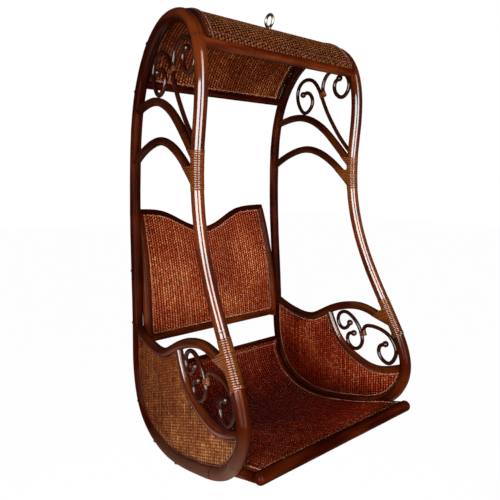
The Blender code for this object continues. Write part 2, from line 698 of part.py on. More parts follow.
back = place("woven_back", grid(rows), CHAIR, WEAVE)
thicken(back, PANEL_T)
cut(back, foot_room, top_room, *stile_rooms)

# Seat
rail_in = (POLE_D + SEAT_RAIL_D) / 2 + GAP
hull = LOOP[(LOOP[:, 1] < SEAT_REAR_Z - 0.045) & (LOOP[:, 0] > TOE_Y + 0.125)]
seat_path = np.vstack([[(SEAT_REAR_Y, SEAT_REAR_Z)], hull,
                       [(SEAT_FRONT_Y + 0.10, SEAT_FRONT_Z - 0.039), (SEAT_FRONT_Y, SEAT_FRONT_Z)]])
seat_rear, seat_rear_room = across("seat_rear_rail", SEAT_REAR_Y, SEAT_REAR_Z, SEAT_REAR_D, POLE, short=0.012)
cut(seat_rear, LEFT_ROOM, RIGHT_ROOM)
reach = SEAT_FRONT_L / 2
stations = [(-reach, 0.55), (-reach + 0.004, 0.88), (-reach + 0.012, 1), (reach - 0.012, 1), (reach - 0.004, 0.88),
            (reach, 0.55)]
front_points = [(x, SEAT_FRONT_Y, SEAT_FRONT_Z) for x, _ in stations]
place("seat_front_rail", bar(front_points, SEAT_FRONT_D, sides=12, radii=[r for _, r in stations]), CHAIR, POLE)
seat_front_room = room(front_points, SEAT_FRONT_D, CHAIR, sides=12)
rail_rooms = []
for label, plane, inward in (("left", LEFT, rail_in), ("right", RIGHT, -rail_in)):
    rail = place(label + "_seat_rail", bar(lift(seat_path, inward), SEAT_RAIL_D), plane, POLE)
    cut(rail, seat_rear_room, seat_front_room)
    rail_rooms.append(room(lift(seat_path, inward), SEAT_RAIL_D, plane))
seat_sheet = offset(seat_path, -SEAT_RISE)
seat = place("woven_seat", grid([[(-half_width(z) + rail_in, y, z), (half_width(z) - rail_in, y, z)]
                                 for y, z in seat_sheet]), CHAIR, WEAVE)
thicken(seat, PANEL_T)
cut(seat, seat_rear_room, seat_front_room, *rail_rooms)
for name, y in zip(("rear_cross_bar", "front_cross_bar"), CROSS_BAR_Y):
    z = height_at(seat_path[seat_path[:, 1] < SEAT_REAR_Z - 0.06], y) - 0.0045
    cross, _ = across(name, y, z, CROSS_BAR_D, SLIM, sides=8, short=rail_in)
    cut(cross, *rail_rooms)
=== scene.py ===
"""Hanging rattan chair, dressed: varnished poles, scrolled cane, wound bindings and woven panels."""
import math

import bpy
import numpy as np
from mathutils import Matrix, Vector


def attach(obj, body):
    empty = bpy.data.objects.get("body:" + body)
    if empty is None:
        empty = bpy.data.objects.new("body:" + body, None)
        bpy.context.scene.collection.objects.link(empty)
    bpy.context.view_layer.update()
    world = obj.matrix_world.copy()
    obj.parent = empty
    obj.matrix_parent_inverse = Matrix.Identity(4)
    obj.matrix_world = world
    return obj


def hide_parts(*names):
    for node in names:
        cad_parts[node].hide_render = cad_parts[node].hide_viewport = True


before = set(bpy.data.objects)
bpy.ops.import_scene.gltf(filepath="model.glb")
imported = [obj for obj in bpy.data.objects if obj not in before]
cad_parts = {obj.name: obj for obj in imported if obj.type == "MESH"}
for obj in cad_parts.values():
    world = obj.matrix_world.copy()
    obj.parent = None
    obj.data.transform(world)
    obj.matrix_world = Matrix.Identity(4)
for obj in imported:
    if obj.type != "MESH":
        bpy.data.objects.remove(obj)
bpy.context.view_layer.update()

# Side poles: a thick rattan stem on each side, steamed and bent into one closed loop in a plane that
# leans out a little, with the growth rings of the stem left on. Stained red-brown and varnished.
HALF_WIDTH = 0.2748
SPLAY = 0.032
POLE_D = 0.034
REAR_Y, FRONT_Y, TOE_Y = 0.325, -0.078, -0.303
CROWN_Y, CROWN_Z = 0.080, -0.028
BOTTOM_Z = -1.262
WAIST_Z = BOTTOM_Z + 0.573 * (CROWN_Z - BOTTOM_Z)
SIDE_LOOP = [
    (FRONT_Y - 0.014, WAIST_Z), (FRONT_Y, WAIST_Z + 0.165), (FRONT_Y - 0.0135, CROWN_Z - 0.162),
    (FRONT_Y + 0.028, CROWN_Z - 0.048), (CROWN_Y, CROWN_Z), (REAR_Y - 0.131, CROWN_Z - 0.048),
    (REAR_Y - 0.034, CROWN_Z - 0.194), (REAR_Y - 0.004, CROWN_Z - 0.372), (REAR_Y, CROWN_Z - 0.592),
    (REAR_Y - 0.012, BOTTOM_Z + 0.302), (REAR_Y - 0.021, BOTTOM_Z + 0.154),
    (REAR_Y - 0.075, BOTTOM_Z + 0.050), (TOE_Y + 0.398, BOTTOM_Z), (TOE_Y + 0.193, BOTTOM_Z + 0.046),
    (TOE_Y + 0.060, BOTTOM_Z + 0.112), (TOE_Y, BOTTOM_Z + 0.232), (TOE_Y + 0.049, BOTTOM_Z + 0.370),
    (FRONT_Y - 0.077, WAIST_Z - 0.167),
]
SIDES = (("left", -1), ("right", 1))


def smooth(points, closed=False, step=0.002):
    """Close-set points along the cubic spline through the given ones."""
    knots = np.array(points, float)
    if closed:
        knots = np.vstack([knots, knots[:1]])
    run = np.linalg.norm(np.diff(knots, axis=0), axis=1)
    slope = np.diff(knots, axis=0) / run[:, None]
    last = len(run)
    size = last if closed else last + 1
    system = np.zeros((size, size))
    right = np.zeros((size, knots.shape[1]))
    for i in range(size):
        if not closed and i in (0, last):
            system[i, i] = 2
            system[i, 1 if i == 0 else last - 1] = 1
            right[i] = 3 * slope[0 if i == 0 else last - 1]
            continue
        before, after = run[i - 1], run[i % last]
        system[i, (i - 1) % size] += after
        system[i, i] += 2 * (before + after)
        system[i, (i + 1) % size] += before
        right[i] = 3 * (after * slope[i - 1] + before * slope[i % last])
    tangent = np.linalg.solve(system, right)
    path = []
    for i in range(last):
        start, end = knots[i], knots[i + 1]
        leave, arrive = tangent[i] * run[i], tangent[(i + 1) % size] * run[i]
        pieces = max(2, round(run[i] / step))
        for t in np.arange(pieces) / pieces:
            path.append(start * (2 * t**3 - 3 * t**2 + 1) + leave * (t**3 - 2 * t**2 + t)
                        + end * (3 * t**2 - 2 * t**3) + arrive * (t**3 - t**2))
    path.append(knots[-1])
    return np.array(path)


def lengths(path):
    """Distance along a path at each of its points."""
    return np.concatenate([[0], np.cumsum(np.linalg.norm(np.diff(path, axis=0), axis=1))])


def read_off(stations, along, rows):
    """Rows of values known at distances along a path, read off at stations between them."""
    return np.column_stack([np.interp(stations, along, column) for column in rows.T])


def at_lengths(path, stations):
    return read_off(stations, lengths(path), path)


def nearest(path, spot):
    """Which point of a path is next to a spot."""
    return int(np.argmin(np.linalg.norm(path - np.array(spot), axis=1)))


def unit(vectors):
    return vectors / np.linalg.norm(vectors, axis=1)[:, None]


def headings(path):
    """Direction of a path at each of its points."""
    return unit(np.gradient(path, axis=0))


def side_axes(side):
    """Directions of a side frame: up along its plane, and square to it towards the chair's right."""
    lean = math.atan(SPLAY)
    return (np.array((-side * math.sin(lean), 0, math.cos(lean))),
            np.array((math.cos(lean), 0, side * math.sin(lean))))


def in_side(side, path, inward=0.0):
    """Points drawn in a side frame's plane, set out in space."""
    path = np.asarray(path, float)
    up, across = side_axes(side)
    return (np.array((side * HALF_WIDTH, 0, 0)) + np.outer(path[:, 0], (0, 1, 0)) + np.outer(path[:, 1], up)
            - side * inward * across)


RING_SPACING, RING_START, END_CLEAR = (0.24, 0.38), 0.12, 0.03
RING_ROOM, LEAST_STEP = 0.015, 0.0004
RING_STEPS = np.array((0.0013, 0.0026, 0.004, 0.006, 0.009, 0.014))
RING_SWELL, RING_SWELL_W = 0.020, 0.011
RING_GROOVE, RING_GROOVE_W, SCAR_W = 0.024, 0.0014, 0.0021
SEAM_CLEAR, SEAM_SCAR = 0.05, 2.4


def grown(path, step, seed, spacing=RING_SPACING, seam=None):
    """Stations along a stem with its growth rings: points, swelling and how scarred each one is.
    A seam, where the two ends of a bent stem meet, is marked like a ring."""
    draw = np.random.default_rng(seed)
    total = lengths(path)[-1]
    rings = np.cumsum(draw.uniform(*spacing, 60)) - RING_START
    rings = rings[(rings > END_CLEAR) & (rings < total - END_CLEAR)]
    if seam is not None:
        rings = np.append(rings[np.abs(rings - seam) > SEAM_CLEAR], seam)
    close = np.concatenate([-RING_STEPS[::-1], [0], RING_STEPS])
    even = np.linspace(0, total, max(3, round(total / step)))
    if len(rings):
        even = even[np.abs(even[:, None] - rings[None]).min(axis=1) > RING_ROOM]
    stations = np.sort(np.concatenate([[0, total], even, (rings[:, None] + close[None]).ravel()]))
    stations = stations[np.concatenate([[True], np.diff(stations) > LEAST_STEP])]
    gap = stations[:, None] - rings[None] if len(rings) else np.full((len(stations), 1), 1.0)
    swell = (1 + RING_SWELL * np.exp(-(gap / RING_SWELL_W)**2).sum(axis=1)
             - RING_GROOVE * np.exp(-(gap / RING_GROOVE_W)**2).sum(axis=1))
    swell += 0.005 * np.sin(stations * 31 + seed) + 0.004 * np.sin(stations * 73 + 2.1 * seed)
    scar = np.exp(-(gap / SCAR_W)**2)
    if seam is not None:
        scar[:, -1] *= SEAM_SCAR
    return at_lengths(path, stations), swell, scar.max(axis=1)


def pick(*pieces):
    """Select these pieces and nothing else. The first one is active."""
    bpy.ops.object.select_all(action="DESELECT")
    for piece in pieces:
        piece.select_set(True)
    if pieces:
        bpy.context.view_layer.objects.active = pieces[0]


def mark(piece, word, values):
    """A value at every point of a piece, for its material to read."""
    layer = piece.data.attributes.new(word, "FLOAT", "POINT")
    layer.data.foreach_set("value", np.asarray(values, np.float32))


def stem(name, path, diameter, swell=None, scar=None, closed=False, sides=20):
    """Round cane drawn along a path. Its UV map runs in metres along and in turns around."""
    if closed:
        path = path[:-1]
    count = len(path)
    pick()
    bpy.ops.curve.primitive_nurbs_path_add()
    piece = bpy.context.object
    piece.name = name
    curve = piece.data
    curve.splines.clear()
    line = curve.splines.new("POLY")
    line.points.add(count - 1)
    line.points.foreach_set("co", np.column_stack([path, np.ones(count)]).ravel())
    line.points.foreach_set("radius", np.ones(count) if swell is None else np.asarray(swell)[:count])
    line.use_cyclic_u = closed
    curve.bevel_depth = diameter / 2
    curve.bevel_resolution = (sides - 4) // 2
    curve.use_fill_caps = not closed
    bpy.ops.object.convert(target="MESH")
    piece = bpy.context.object
    mesh = piece.data
    mesh.name = name
    along = lengths(np.vstack([path, path[:1]]) if closed else path)
    uv = np.empty(len(mesh.loops) * 2)
    mesh.uv_layers[0].data.foreach_get("uv", uv)
    uv[0::2] = np.interp(uv[0::2] * (len(along) - 1), np.arange(len(along)), along)
    mesh.uv_layers[0].data.foreach_set("uv", uv)
    marks = np.zeros(len(mesh.vertices))
    if scar is not None:
        marks[-count * sides:] = np.repeat(np.asarray(scar)[:count], sides)
    mark(piece, "scar", marks)
    bpy.ops.object.mode_set(mode="EDIT")
    bpy.ops.mesh.select_all(action="SELECT")
    bpy.ops.mesh.remove_doubles(threshold=0.000001)
    bpy.ops.mesh.normals_make_consistent(inside=False)
    bpy.ops.object.mode_set(mode="OBJECT")
    bpy.ops.object.shade_smooth_by_angle(angle=math.radians(45))
    return piece


def plug(socket, value):
    """Feed a socket with a link or with a plain value."""
    if isinstance(value, Sum):
        value.tree.links.new(value.socket, socket)
    else:
        socket.default_value = value


class Sum:
    """A shader socket that takes part in sums: each operator adds a Math node."""

    def __init__(self, tree, socket=None):
        self.tree, self.socket = tree, socket

    def node(self, kind, settings=None, out=0, **inputs):
        made = self.tree.nodes.new(kind)
        for setting, value in (settings or {}).items():
            if setting == "stops":
                stops = made.color_ramp.elements
                while len(stops) < len(value):
                    stops.new(0.5)
                for stop, (place, colour) in zip(stops, value):
                    stop.position, stop.color = place, (*colour, 1)
            else:
                setattr(made, setting, value)
        for label, value in inputs.items():
            numbered = label[0] == "i" and label[1:].isdigit()
            plug(made.inputs[int(label[1:]) if numbered else label], value)
        return Sum(self.tree, made.outputs[out])

    def beside(self, out):
        """Another output of the same node."""
        return Sum(self.tree, self.socket.node.outputs[out])

    def maths(self, operation, other=0.0, swap=False):
        first, second = (other, self) if swap else (self, other)
        return self.node("ShaderNodeMath", {"operation": operation}, i0=first, i1=second)

    def __add__(self, other):
        return self.maths("ADD", other)

    __radd__ = __add__

    def __sub__(self, other):
        return self.maths("SUBTRACT", other)

    def __rsub__(self, other):
        return self.maths("SUBTRACT", other, swap=True)

    def __mul__(self, other):
        return self.maths("MULTIPLY", other)

    __rmul__ = __mul__

    def limit(self, low, high):
        return self.maths("MAXIMUM", low).maths("MINIMUM", high)

    def noise(self, scale, detail=2.0):
        return self.node("ShaderNodeTexNoise", Vector=self, Scale=scale, Detail=detail)

    def ramp(self, places, colours):
        return self.node("ShaderNodeValToRGB", {"stops": list(zip(places, colours))}, Fac=self)

    def bump(self, strength, distance):
        return self.node("ShaderNodeBump", Strength=strength, Distance=distance, Height=self)

    def marked(self, word):
        """What mark() has set at the points of a piece, or nothing."""
        return self.node("ShaderNodeAttribute", {"attribute_name": word}, out=2)

    def blend(self, first, second):
        """Colour between two, by this value."""
        return self.node("ShaderNodeMix", {"data_type": "RGBA"}, out=2, Factor=self, A=first, B=second)


def finish_of(name):
    """A new material: its Principled shader, and a start for sums in its nodes."""
    material = bpy.data.materials.new(name)
    material.use_nodes = True
    tree = material.node_tree
    return material, tree.nodes["Principled BSDF"], Sum(tree)


def feed(shader, **sockets):
    for label, value in sockets.items():
        plug(shader.inputs[label.replace("_", " ")], value)


def whereabouts(start):
    """A spot on the chair, how far back it is and how high."""
    spot = start.node("ShaderNodeTexCoord", out=3)
    place = start.node("ShaderNodeSeparateXYZ", i0=spot)
    return spot, place.beside(1), place.beside(2)


def shaded(colour, *shares):
    """A colour with its red, green and blue cut to these shares."""
    return (*(part * share for part, share in zip(colour, shares)), 1)


# A greyer cane colour for the marked foot: wear on the cane and a painted reflection of the floor.
WEAR_AND_SHEEN_CANE = (0.078, 0.036, 0.021, 1)


def varnished(name, dark, middle, light, rough=0.34, fibre=1.0, gloss=None):
    """Stained rattan under varnish: long streaks, fine fibres, dark growth rings. Painted shade takes the
    stain darker to the rear, at the toe and inside the arch, and where a pole is marked it turns to a greyer
    colour that is both wear on the cane and a painted reflection of the floor. The gloss, where none is
    given, is full in front and rubbed dull to the rear and at the toe, the foot and the crown."""
    material, shader, start = finish_of(name)
    along = start.node("ShaderNodeSeparateXYZ", i0=start.node("ShaderNodeUVMap"))
    angle = along.beside(1) * (2 * math.pi)
    east, north = angle.maths("COSINE"), angle.maths("SINE")
    spot, depth, height = whereabouts(start)
    scar, inner, worn = [start.marked(word) for word in ("scar", "inner", "worn")]

    def streak(round_scale, long_scale, detail):
        fibres = start.node("ShaderNodeCombineXYZ", i0=east * round_scale, i1=north * round_scale,
                            i2=along * long_scale)
        return fibres.noise(1.0, detail)

    broad = streak(0.9, 5.0, 3.0)
    fine = streak(7.0 * fibre, 16.0, 4.0)
    # Painted shade: the tone drops to the rear, at the toe and on the marked inner side of the arch.
    rear_shade = depth.maths("MAXIMUM", -0.08) * 0.60
    toe_shade = (depth * -1.3 - 0.26).maths("MAXIMUM", 0.0)
    tone = broad * 0.65 + fine * 0.25 + spot.noise(7.0) * 0.50 - rear_shade - 0.18 - toe_shade - inner * 0.45
    # The marked foot turns greyer: wear on the cane and a painted reflection of the floor.
    colour = worn.blend(tone.ramp((0.28, 0.5, 0.74), (dark, middle, light)), WEAR_AND_SHEEN_CANE)
    ringed = (scar * 0.4).blend(colour, shaded(dark, 0.4, 0.4, 0.4))
    feed(shader, Base_Color=ringed, Roughness=rough - 0.06 + fine * 0.14, Normal=fine.bump(0.05, 0.0005))
    if gloss is None:
        gloss = (0.85 - depth * 3.2).maths("MAXIMUM", 0.012)
        toe_rub = (depth * 12.0 + 3.60).maths("MAXIMUM", 0.04)
        foot_rub = (height * 8.0 + 9.4).maths("MAXIMUM", 0.10)
        crown_rub = (height * -8.0 - 0.8).maths("MAXIMUM", 0.28)
        for rub in (toe_rub, foot_rub, crown_rub, 1.0):
            gloss = gloss.maths("MINIMUM", rub)
    feed(shader, Coat_Weight=gloss, Coat_Roughness=0.10, Coat_IOR=1.5, Specular_IOR_Level=0.0)
    return material


def fit(piece, look, node, body="chair"):
    """Finish a piece: its material, the solid it stands for and the body it moves with."""
    piece.data.materials.clear()
    piece.data.materials.append(look)
    if node:
        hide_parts(node)
    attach(piece, body)


POLE_LOOK = varnished("pole_varnish", (0.020, 0.0020, 0.0005), (0.062, 0.0080, 0.0015),
                      (0.175, 0.036, 0.0058))
SEAM_SPOT = (-0.184, -1.191)
# Where the painted shade inside the arch lies and how far it fades.
ARCH_CENTRE, ARCH_FADE = np.array((0.12, -0.25)), 0.12
# The greyer foot, for wear and a painted reflection of the floor: where it starts, how it slopes and fades,
# its strongest share and how far round the pole it reaches.
WEAR_AND_SHEEN_Z, WEAR_AND_SHEEN_SLOPE, WEAR_AND_SHEEN_FADE, WEAR_AND_SHEEN_MOST, WEAR_AND_SHEEN_ROUND = -1.148, 0.45, 0.14, 0.7, 0.6
loop = smooth(SIDE_LOOP, closed=True)
seam_at = lengths(loop)[nearest(loop, SEAM_SPOT)]
for k, (label, side) in enumerate(SIDES):
    points, swell, scar = grown(loop, 0.008, 11 + k, seam=seam_at)
    pole = stem(label + "_pole", in_side(side, points), POLE_D, swell, scar, closed=True, sides=24)
    # The inner side of the arch is marked for painted shade, and the outside of the foot for a greyer patch
    # that is wear on the cane and a painted reflection of the floor.
    spots = np.array([vertex.co for vertex in pole.data.vertices])
    outward = (np.abs(spots[:, 0]) - HALF_WIDTH + SPLAY * spots[:, 2]) / (POLE_D / 2)
    flat = spots[:, 1:]
    axis = points[np.argmin(np.linalg.norm(flat[:, None] - points, axis=2), axis=1)]
    inward = ARCH_CENTRE - axis
    depth = np.sum((flat - axis) * inward, axis=1) / np.linalg.norm(inward, axis=1)
    arched = np.clip((flat[:, 1] - ARCH_CENTRE[1]) / ARCH_FADE, 0, 1)
    mark(pole, "inner", np.clip(depth / (POLE_D / 2), 0, 1) * arched)
    foot = np.clip((WEAR_AND_SHEEN_Z - flat[:, 1] - WEAR_AND_SHEEN_SLOPE * flat[:, 0]) / WEAR_AND_SHEEN_FADE, 0, WEAR_AND_SHEEN_MOST)
    mark(pole, "worn", foot * np.clip(WEAR_AND_SHEEN_ROUND + outward, 0, 1))
    fit(pole, POLE_LOOK, label + "_side_pole")

# Braces, arms and inner rails: thinner stems bent in the plane of each side frame, scribed to the pole
# at both ends and nailed there. Stained like the poles, the braces and arms under a duller varnish.
BRACE_D, ARM_D, INNER_RAIL_D = 0.024, 0.027, 0.023
SCRIBE, BENT_SPACING = 0.008, (0.15, 0.26)
BENT_LOOK = varnished("bent_varnish", (0.016, 0.0024, 0.0007), (0.052, 0.0085, 0.0018),
                      (0.150, 0.034, 0.0062), gloss=0.22)
UPPER_BRACE_Z, LOWER_BRACE_Z = -0.229, -0.342
ARM_Z = BOTTOM_Z + 0.327
ARM_FRONT_Z = ARM_Z + 0.042
INNER_Y, INNER_Z = 0.020, ARM_Z - 0.087


def crossing(z, rear=False):
    """Where the side pole's axis passes a height."""
    low = loop[:, 1] < z
    i = np.nonzero(low[:-1] != low[1:])[0]
    share = (z - loop[i, 1]) / (loop[i + 1, 1] - loop[i, 1])
    y = loop[i, 0] + share * (loop[i + 1, 0] - loop[i, 0])
    return y.max() if rear else y.min()


def height_at(path, y):
    """Height of a path in a side frame's plane, this far back."""
    order = np.argsort(path[:, 0])
    return float(np.interp(y, path[order, 0], path[order, 1]))


def between(front, rear, shares):
    """Points at shares of the way from front to rear, each at its height."""
    return [(front + share * (rear - front), z) for share, z in shares]


def brace_path(crown, rear_z, front_z, shares):
    """A stem from the rear of the side pole to its front. Shares of the way from the front, each with its
    drop under the crown, say how it bends."""
    rear, front = crossing(rear_z, rear=True), crossing(front_z)
    middle = between(front, rear, [(share, crown - drop) for share, drop in shares])
    return smooth([(rear, rear_z)] + middle + [(front, front_z)])


upper = brace_path(UPPER_BRACE_Z, UPPER_BRACE_Z - 0.014, UPPER_BRACE_Z - 0.176,
                   [(0.835, 0.002), (0.65, 0), (0.476, 0.019), (0.332, 0.053), (0.2, 0.099)])
lower = brace_path(LOWER_BRACE_Z, LOWER_BRACE_Z - 0.058, LOWER_BRACE_Z - 0.127,
                   [(0.8725, 0.032), (0.71, 0.009), (0.5225, 0), (0.3725, 0.015), (0.2325, 0.046),
                    (0.1075, 0.086)])
arm = brace_path(ARM_Z, ARM_Z, ARM_FRONT_Z,
                 [(0.879, 0.020), (0.756, 0.031), (0.638, 0.026), (0.536, -0.003), (0.430, -0.036),
                  (0.316, -0.059), (0.210, -0.066), (0.1136, -0.056)])
inner_drops = ((0.081, 0.033), (0.171, 0.073), (0.289, 0.101), (0.441, 0.121), (0.596, 0.131),
               (0.733, 0.126), (0.876, 0.108))
inner = smooth([(INNER_Y, height_at(arm, INNER_Y))]
               + between(INNER_Y, crossing(INNER_Z), [(share, ARM_Z - drop) for share, drop in inner_drops])
               + [(crossing(INNER_Z), INNER_Z)])


def trimmed(path, start, end):
    """A path without its first and last few millimetres."""
    return at_lengths(path, np.linspace(start, lengths(path)[-1] - end, len(path)))


def ringed_stem(name, path, diameter, step, seed, side=0, inward=0.0, blunt=0.0, sides=20,
                spacing=RING_SPACING):
    """A stem with its growth rings. Where a side is given it is drawn in that side frame's plane, and a
    blunt one has its ends rounded over this length."""
    points, swell, scar = grown(path, step, seed, spacing)
    if blunt:
        along = lengths(points)
        ends = np.clip(np.minimum(along, along[-1] - along) / blunt, 0, 1)
        swell = swell * np.sqrt(np.clip(1 - (1 - ends)**2 * 0.72, 0, 1))
    if side:
        points = in_side(side, points, inward)
    return stem(name, points, diameter, swell, scar, sides=sides)


BENT = (("upper_brace", upper, BRACE_D, BENT_LOOK, 21), ("lower_brace", lower, BRACE_D, BENT_LOOK, 31),
        ("arm_rail", arm, ARM_D, BENT_LOOK, 41), ("inner_rail", inner, INNER_RAIL_D, POLE_LOOK, 51))
for k, (label, side) in enumerate(SIDES):
    for name, path, diameter, look, seed in BENT:
        bent = ringed_stem(f"{label}_{name}_cane", trimmed(path, SCRIBE, SCRIBE), diameter, 0.006, seed + k,
                           side, spacing=BENT_SPACING)
        fit(bent, look, f"{label}_{name}")

# Strut and scrolls: slim cane coiled on a former, each free end in a turned wooden ball. They spring
# between the braces, the arm and the inner rail and are tied to each other.
CANE_D, BALL_D, BALL_SEAT = 0.0126, 0.021, 0.010
STRUT = [(-0.0794, -0.372), (-0.022, -0.309), (0.01, -0.264), (0.036, -0.222), (0.062, -0.168),
         (0.079, -0.137), (0.1, -0.1143), (0.127, -0.1043), (0.156, -0.1093), (0.177, -0.1313),
         (0.181, -0.1593), (0.17, -0.1913), (0.144, -0.2147), (0.116, -0.2033), (0.105, -0.1793),
         (0.114, -0.1573), (0.134, -0.1473), (0.152, -0.1523)]
FRONT_SCROLL = [(0.0461, -0.1696), (0.0543, -0.1546), (0.0545, -0.135), (0.044, -0.113), (0.024, -0.098),
                (-0.002, -0.094), (-0.0237, -0.101), (-0.0477, -0.12), (-0.0597, -0.147), (-0.0517, -0.172),
                (-0.0307, -0.184), (-0.0077, -0.173), (0.0033, -0.149), (-0.0027, -0.131), (-0.0187, -0.125)]
S_SCROLL = [(-0.079, -0.9383), (-0.067, -0.9583), (-0.048, -0.9663), (-0.032, -0.9563), (-0.026, -0.9333),
            (-0.038, -0.9123), (-0.062, -0.9039), (-0.092, -0.9153), (-0.116, -0.9373), (-0.129, -0.9603),
            (-0.135, -0.9853), (-0.126, -1.0113), (-0.103, -1.0253), (-0.079, -1.0163), (-0.07, -0.9963),
            (-0.079, -0.9773), (-0.098, -0.9723)]
C_SCROLL = [(-0.1461, -0.9664), (-0.1402, -0.9515), (-0.1405, -0.9433), (-0.148, -0.9323), (-0.163, -0.9266),
            (-0.184, -0.9246), (-0.211, -0.9271), (-0.239, -0.9376), (-0.258, -0.9566), (-0.2685, -0.9816),
            (-0.262, -1.0106), (-0.241, -1.0322), (-0.217, -1.0256), (-0.203, -1.0046), (-0.208, -0.9826),
            (-0.228, -0.9716)]
SCROLL_LOOK = varnished("scroll_varnish", (0.012, 0.0015, 0.0006), (0.028, 0.0042, 0.0013),
                        (0.062, 0.013, 0.0032), rough=0.3, gloss=0.5)


def ball_end(path):
    """The path run on through a ball at its end, and the cane's swelling there."""
    radius, slim = BALL_D / 2, CANE_D / 2
    total = lengths(path)[-1]
    body = at_lengths(path, np.linspace(0, total - BALL_SEAT, round(total / 0.0032)))
    step = body[-1] - body[-2]
    step /= np.linalg.norm(step)
    centre = body[-1] + step * BALL_SEAT
    ways = radius * np.array((-0.80, -0.77, -0.7, -0.6, -0.45, -0.28, -0.1, 0.1, 0.28, 0.45, 0.6, 0.73, 0.84,
                              0.92, 0.97, 0.995))
    thick = np.sqrt(np.maximum(radius**2 - ways**2, 0)) / slim
    thick[0] = 1.0
    tail = centre + np.outer(ways, step)
    return np.vstack([body, tail]), np.concatenate([np.ones(len(body)), thick])


def both_ends(path):
    """The same, with a ball at the start of the path too."""
    front, thick = ball_end(path[::-1])
    rear, thick_rear = ball_end(path)
    cut = len(rear) // 2
    kept = len(front) - nearest(front, rear[cut]) - 1
    return (np.vstack([front[::-1][:kept], rear[cut:]]),
            np.concatenate([thick[::-1][:kept], thick_rear[cut:]]))


for label, side in SIDES:
    for name, knots, double in (("strut", STRUT, False), ("front_scroll", FRONT_SCROLL, False),
                                ("s_scroll", S_SCROLL, True), ("c_scroll", C_SCROLL, False)):
        points, thick = (both_ends if double else ball_end)(smooth(knots, step=0.001))
        coil = stem(f"{label}_{name}_cane", in_side(side, points), CANE_D, thick, sides=16)
        fit(coil, SCROLL_LOOK, f"{label}_{name}")

# Bindings: one long flat strip of split cane, wound turn against turn over each joint of a brace or arm
# with the pole, and three or four turns where two scrolls meet. The ends are tucked under and glued.
WRAP_W, WRAP_T, WRAP_PITCH = 0.0056, 0.0008, 0.0056
TIE_W, TIE_PITCH = 0.0035, 0.0037
WRAP_CLEAR, TURN_STEPS = 0.0002, 28
BINDING_LOOK = varnished("binding_varnish", (0.055, 0.0100, 0.0018), (0.130, 0.0300, 0.0048),
                         (0.220, 0.064, 0.011), fibre=0.6, gloss=0.55)


def mesh_piece(name, verts, faces, uv, **marks):
    """A piece from points and faces, with its UV map and its marks."""
    mesh = bpy.data.meshes.new(name)
    mesh.from_pydata([tuple(v) for v in verts], [], faces)
    layer = mesh.uv_layers.new(name="UVMap")
    index = np.empty(len(mesh.loops), dtype=np.int32)
    mesh.loops.foreach_get("vertex_index", index)
    layer.data.foreach_set("uv", np.asarray(uv)[index].astype(np.float32).ravel())
    mesh.polygons.foreach_set("use_smooth", np.ones(len(mesh.polygons), bool))
    mesh.update()
    piece = bpy.data.objects.new(name, mesh)
    bpy.context.scene.collection.objects.link(piece)
    for word, values in marks.items():
        mark(piece, word, values)
    return piece


def strand(rings):
    """Faces of a tube through rings of points, closed at both ends."""
    count, sides = rings.shape[:2]
    start = np.arange(count - 1)[:, None] * sides + np.arange(sides)[None]
    following = np.arange(count - 1)[:, None] * sides + (np.arange(sides)[None] + 1) % sides
    quads = np.stack([start, following, following + sides, start + sides], axis=-1).reshape(-1, 4)
    return quads, [tuple(range(sides))[::-1], tuple(range((count - 1) * sides, count * sides))]


def winding(name, side, axis, core, members, toward, width=WRAP_W, pitch=WRAP_PITCH):
    """Flat strip wound round a pole and, as far as it grips them, round the canes that join it."""
    axis = np.asarray(axis)
    total = lengths(axis)[-1]
    turns = max(2, round(total / pitch))
    stations = np.linspace(0, total, 160)
    spots = at_lengths(axis, stations)
    step = headings(spots)
    across = np.column_stack([-step[:, 1], step[:, 0]]) * toward
    gripped = []
    for path, diameter, grip in members:
        slope = headings(path)
        far, broad = np.zeros(len(stations)), np.full(len(stations), diameter / 2)
        for i, spot in enumerate(spots):
            ahead = (path - spot) @ step[i]
            hits = np.nonzero((ahead[:-1] < 0) != (ahead[1:] < 0))[0]
            if len(hits):
                reach = (path[hits] - spot) @ across[i]
                near = np.argmin(np.abs(reach))
                if 0 < reach[near] < grip:
                    far[i] = reach[near]
                    broad[i] = diameter / 2 / max(0.6, abs(slope[hits[near]] @ step[i]))
        gripped.append((far, broad, diameter / 2))
    runs = np.linspace(0, total, turns * TURN_STEPS + 1)
    theta = np.linspace(0, 2 * math.pi * turns, len(runs)) + math.pi
    east, north = np.cos(theta), np.sin(theta)
    shape = ((-0.5, 0.0), (-0.36, 0.75), (0.0, 1.0), (0.36, 0.75), (0.5, 0.0))
    rings = []
    for place, lift in shape:
        here = np.clip(runs + width * place, 0, total)
        aside, level, hold = core / 2 * east, core / 2 * north, np.full(len(runs), core / 2)
        for far, broad, thick in gripped:
            shift, wide = np.interp(here, stations, far), np.interp(here, stations, broad)
            round_off = np.sqrt((wide * east)**2 + (thick * north)**2)
            outer = (shift > 0.0005) & (shift * east + round_off > hold)
            aside = np.where(outer, shift + wide**2 * east / round_off, aside)
            level = np.where(outer, thick**2 * north / round_off, level)
            hold = np.where(outer, shift * east + round_off, hold)
        base = at_lengths(axis, here)
        way = read_off(here, stations, across)
        proud = WRAP_CLEAR + WRAP_T * lift
        rings.append(np.column_stack([base + way * (aside + proud * east)[:, None], level + proud * north]))
    rings = np.stack(rings, axis=1)
    flat = rings.reshape(-1, 3)
    verts = in_side(side, flat[:, :2]) + np.outer(flat[:, 2], side_axes(side)[1])
    quads, caps = strand(rings)
    along = lengths(rings[:, 2])
    around = np.linspace(0, 0.4, len(shape))
    uv = np.column_stack([np.repeat(along, len(shape)), np.tile(around, len(along))])
    return mesh_piece(name, verts, quads.tolist() + caps, uv)


def front_stretch(low, high):
    """Axis of the front of the side pole between two heights."""
    return np.array([(crossing(z), z) for z in np.linspace(low, high, 60)])


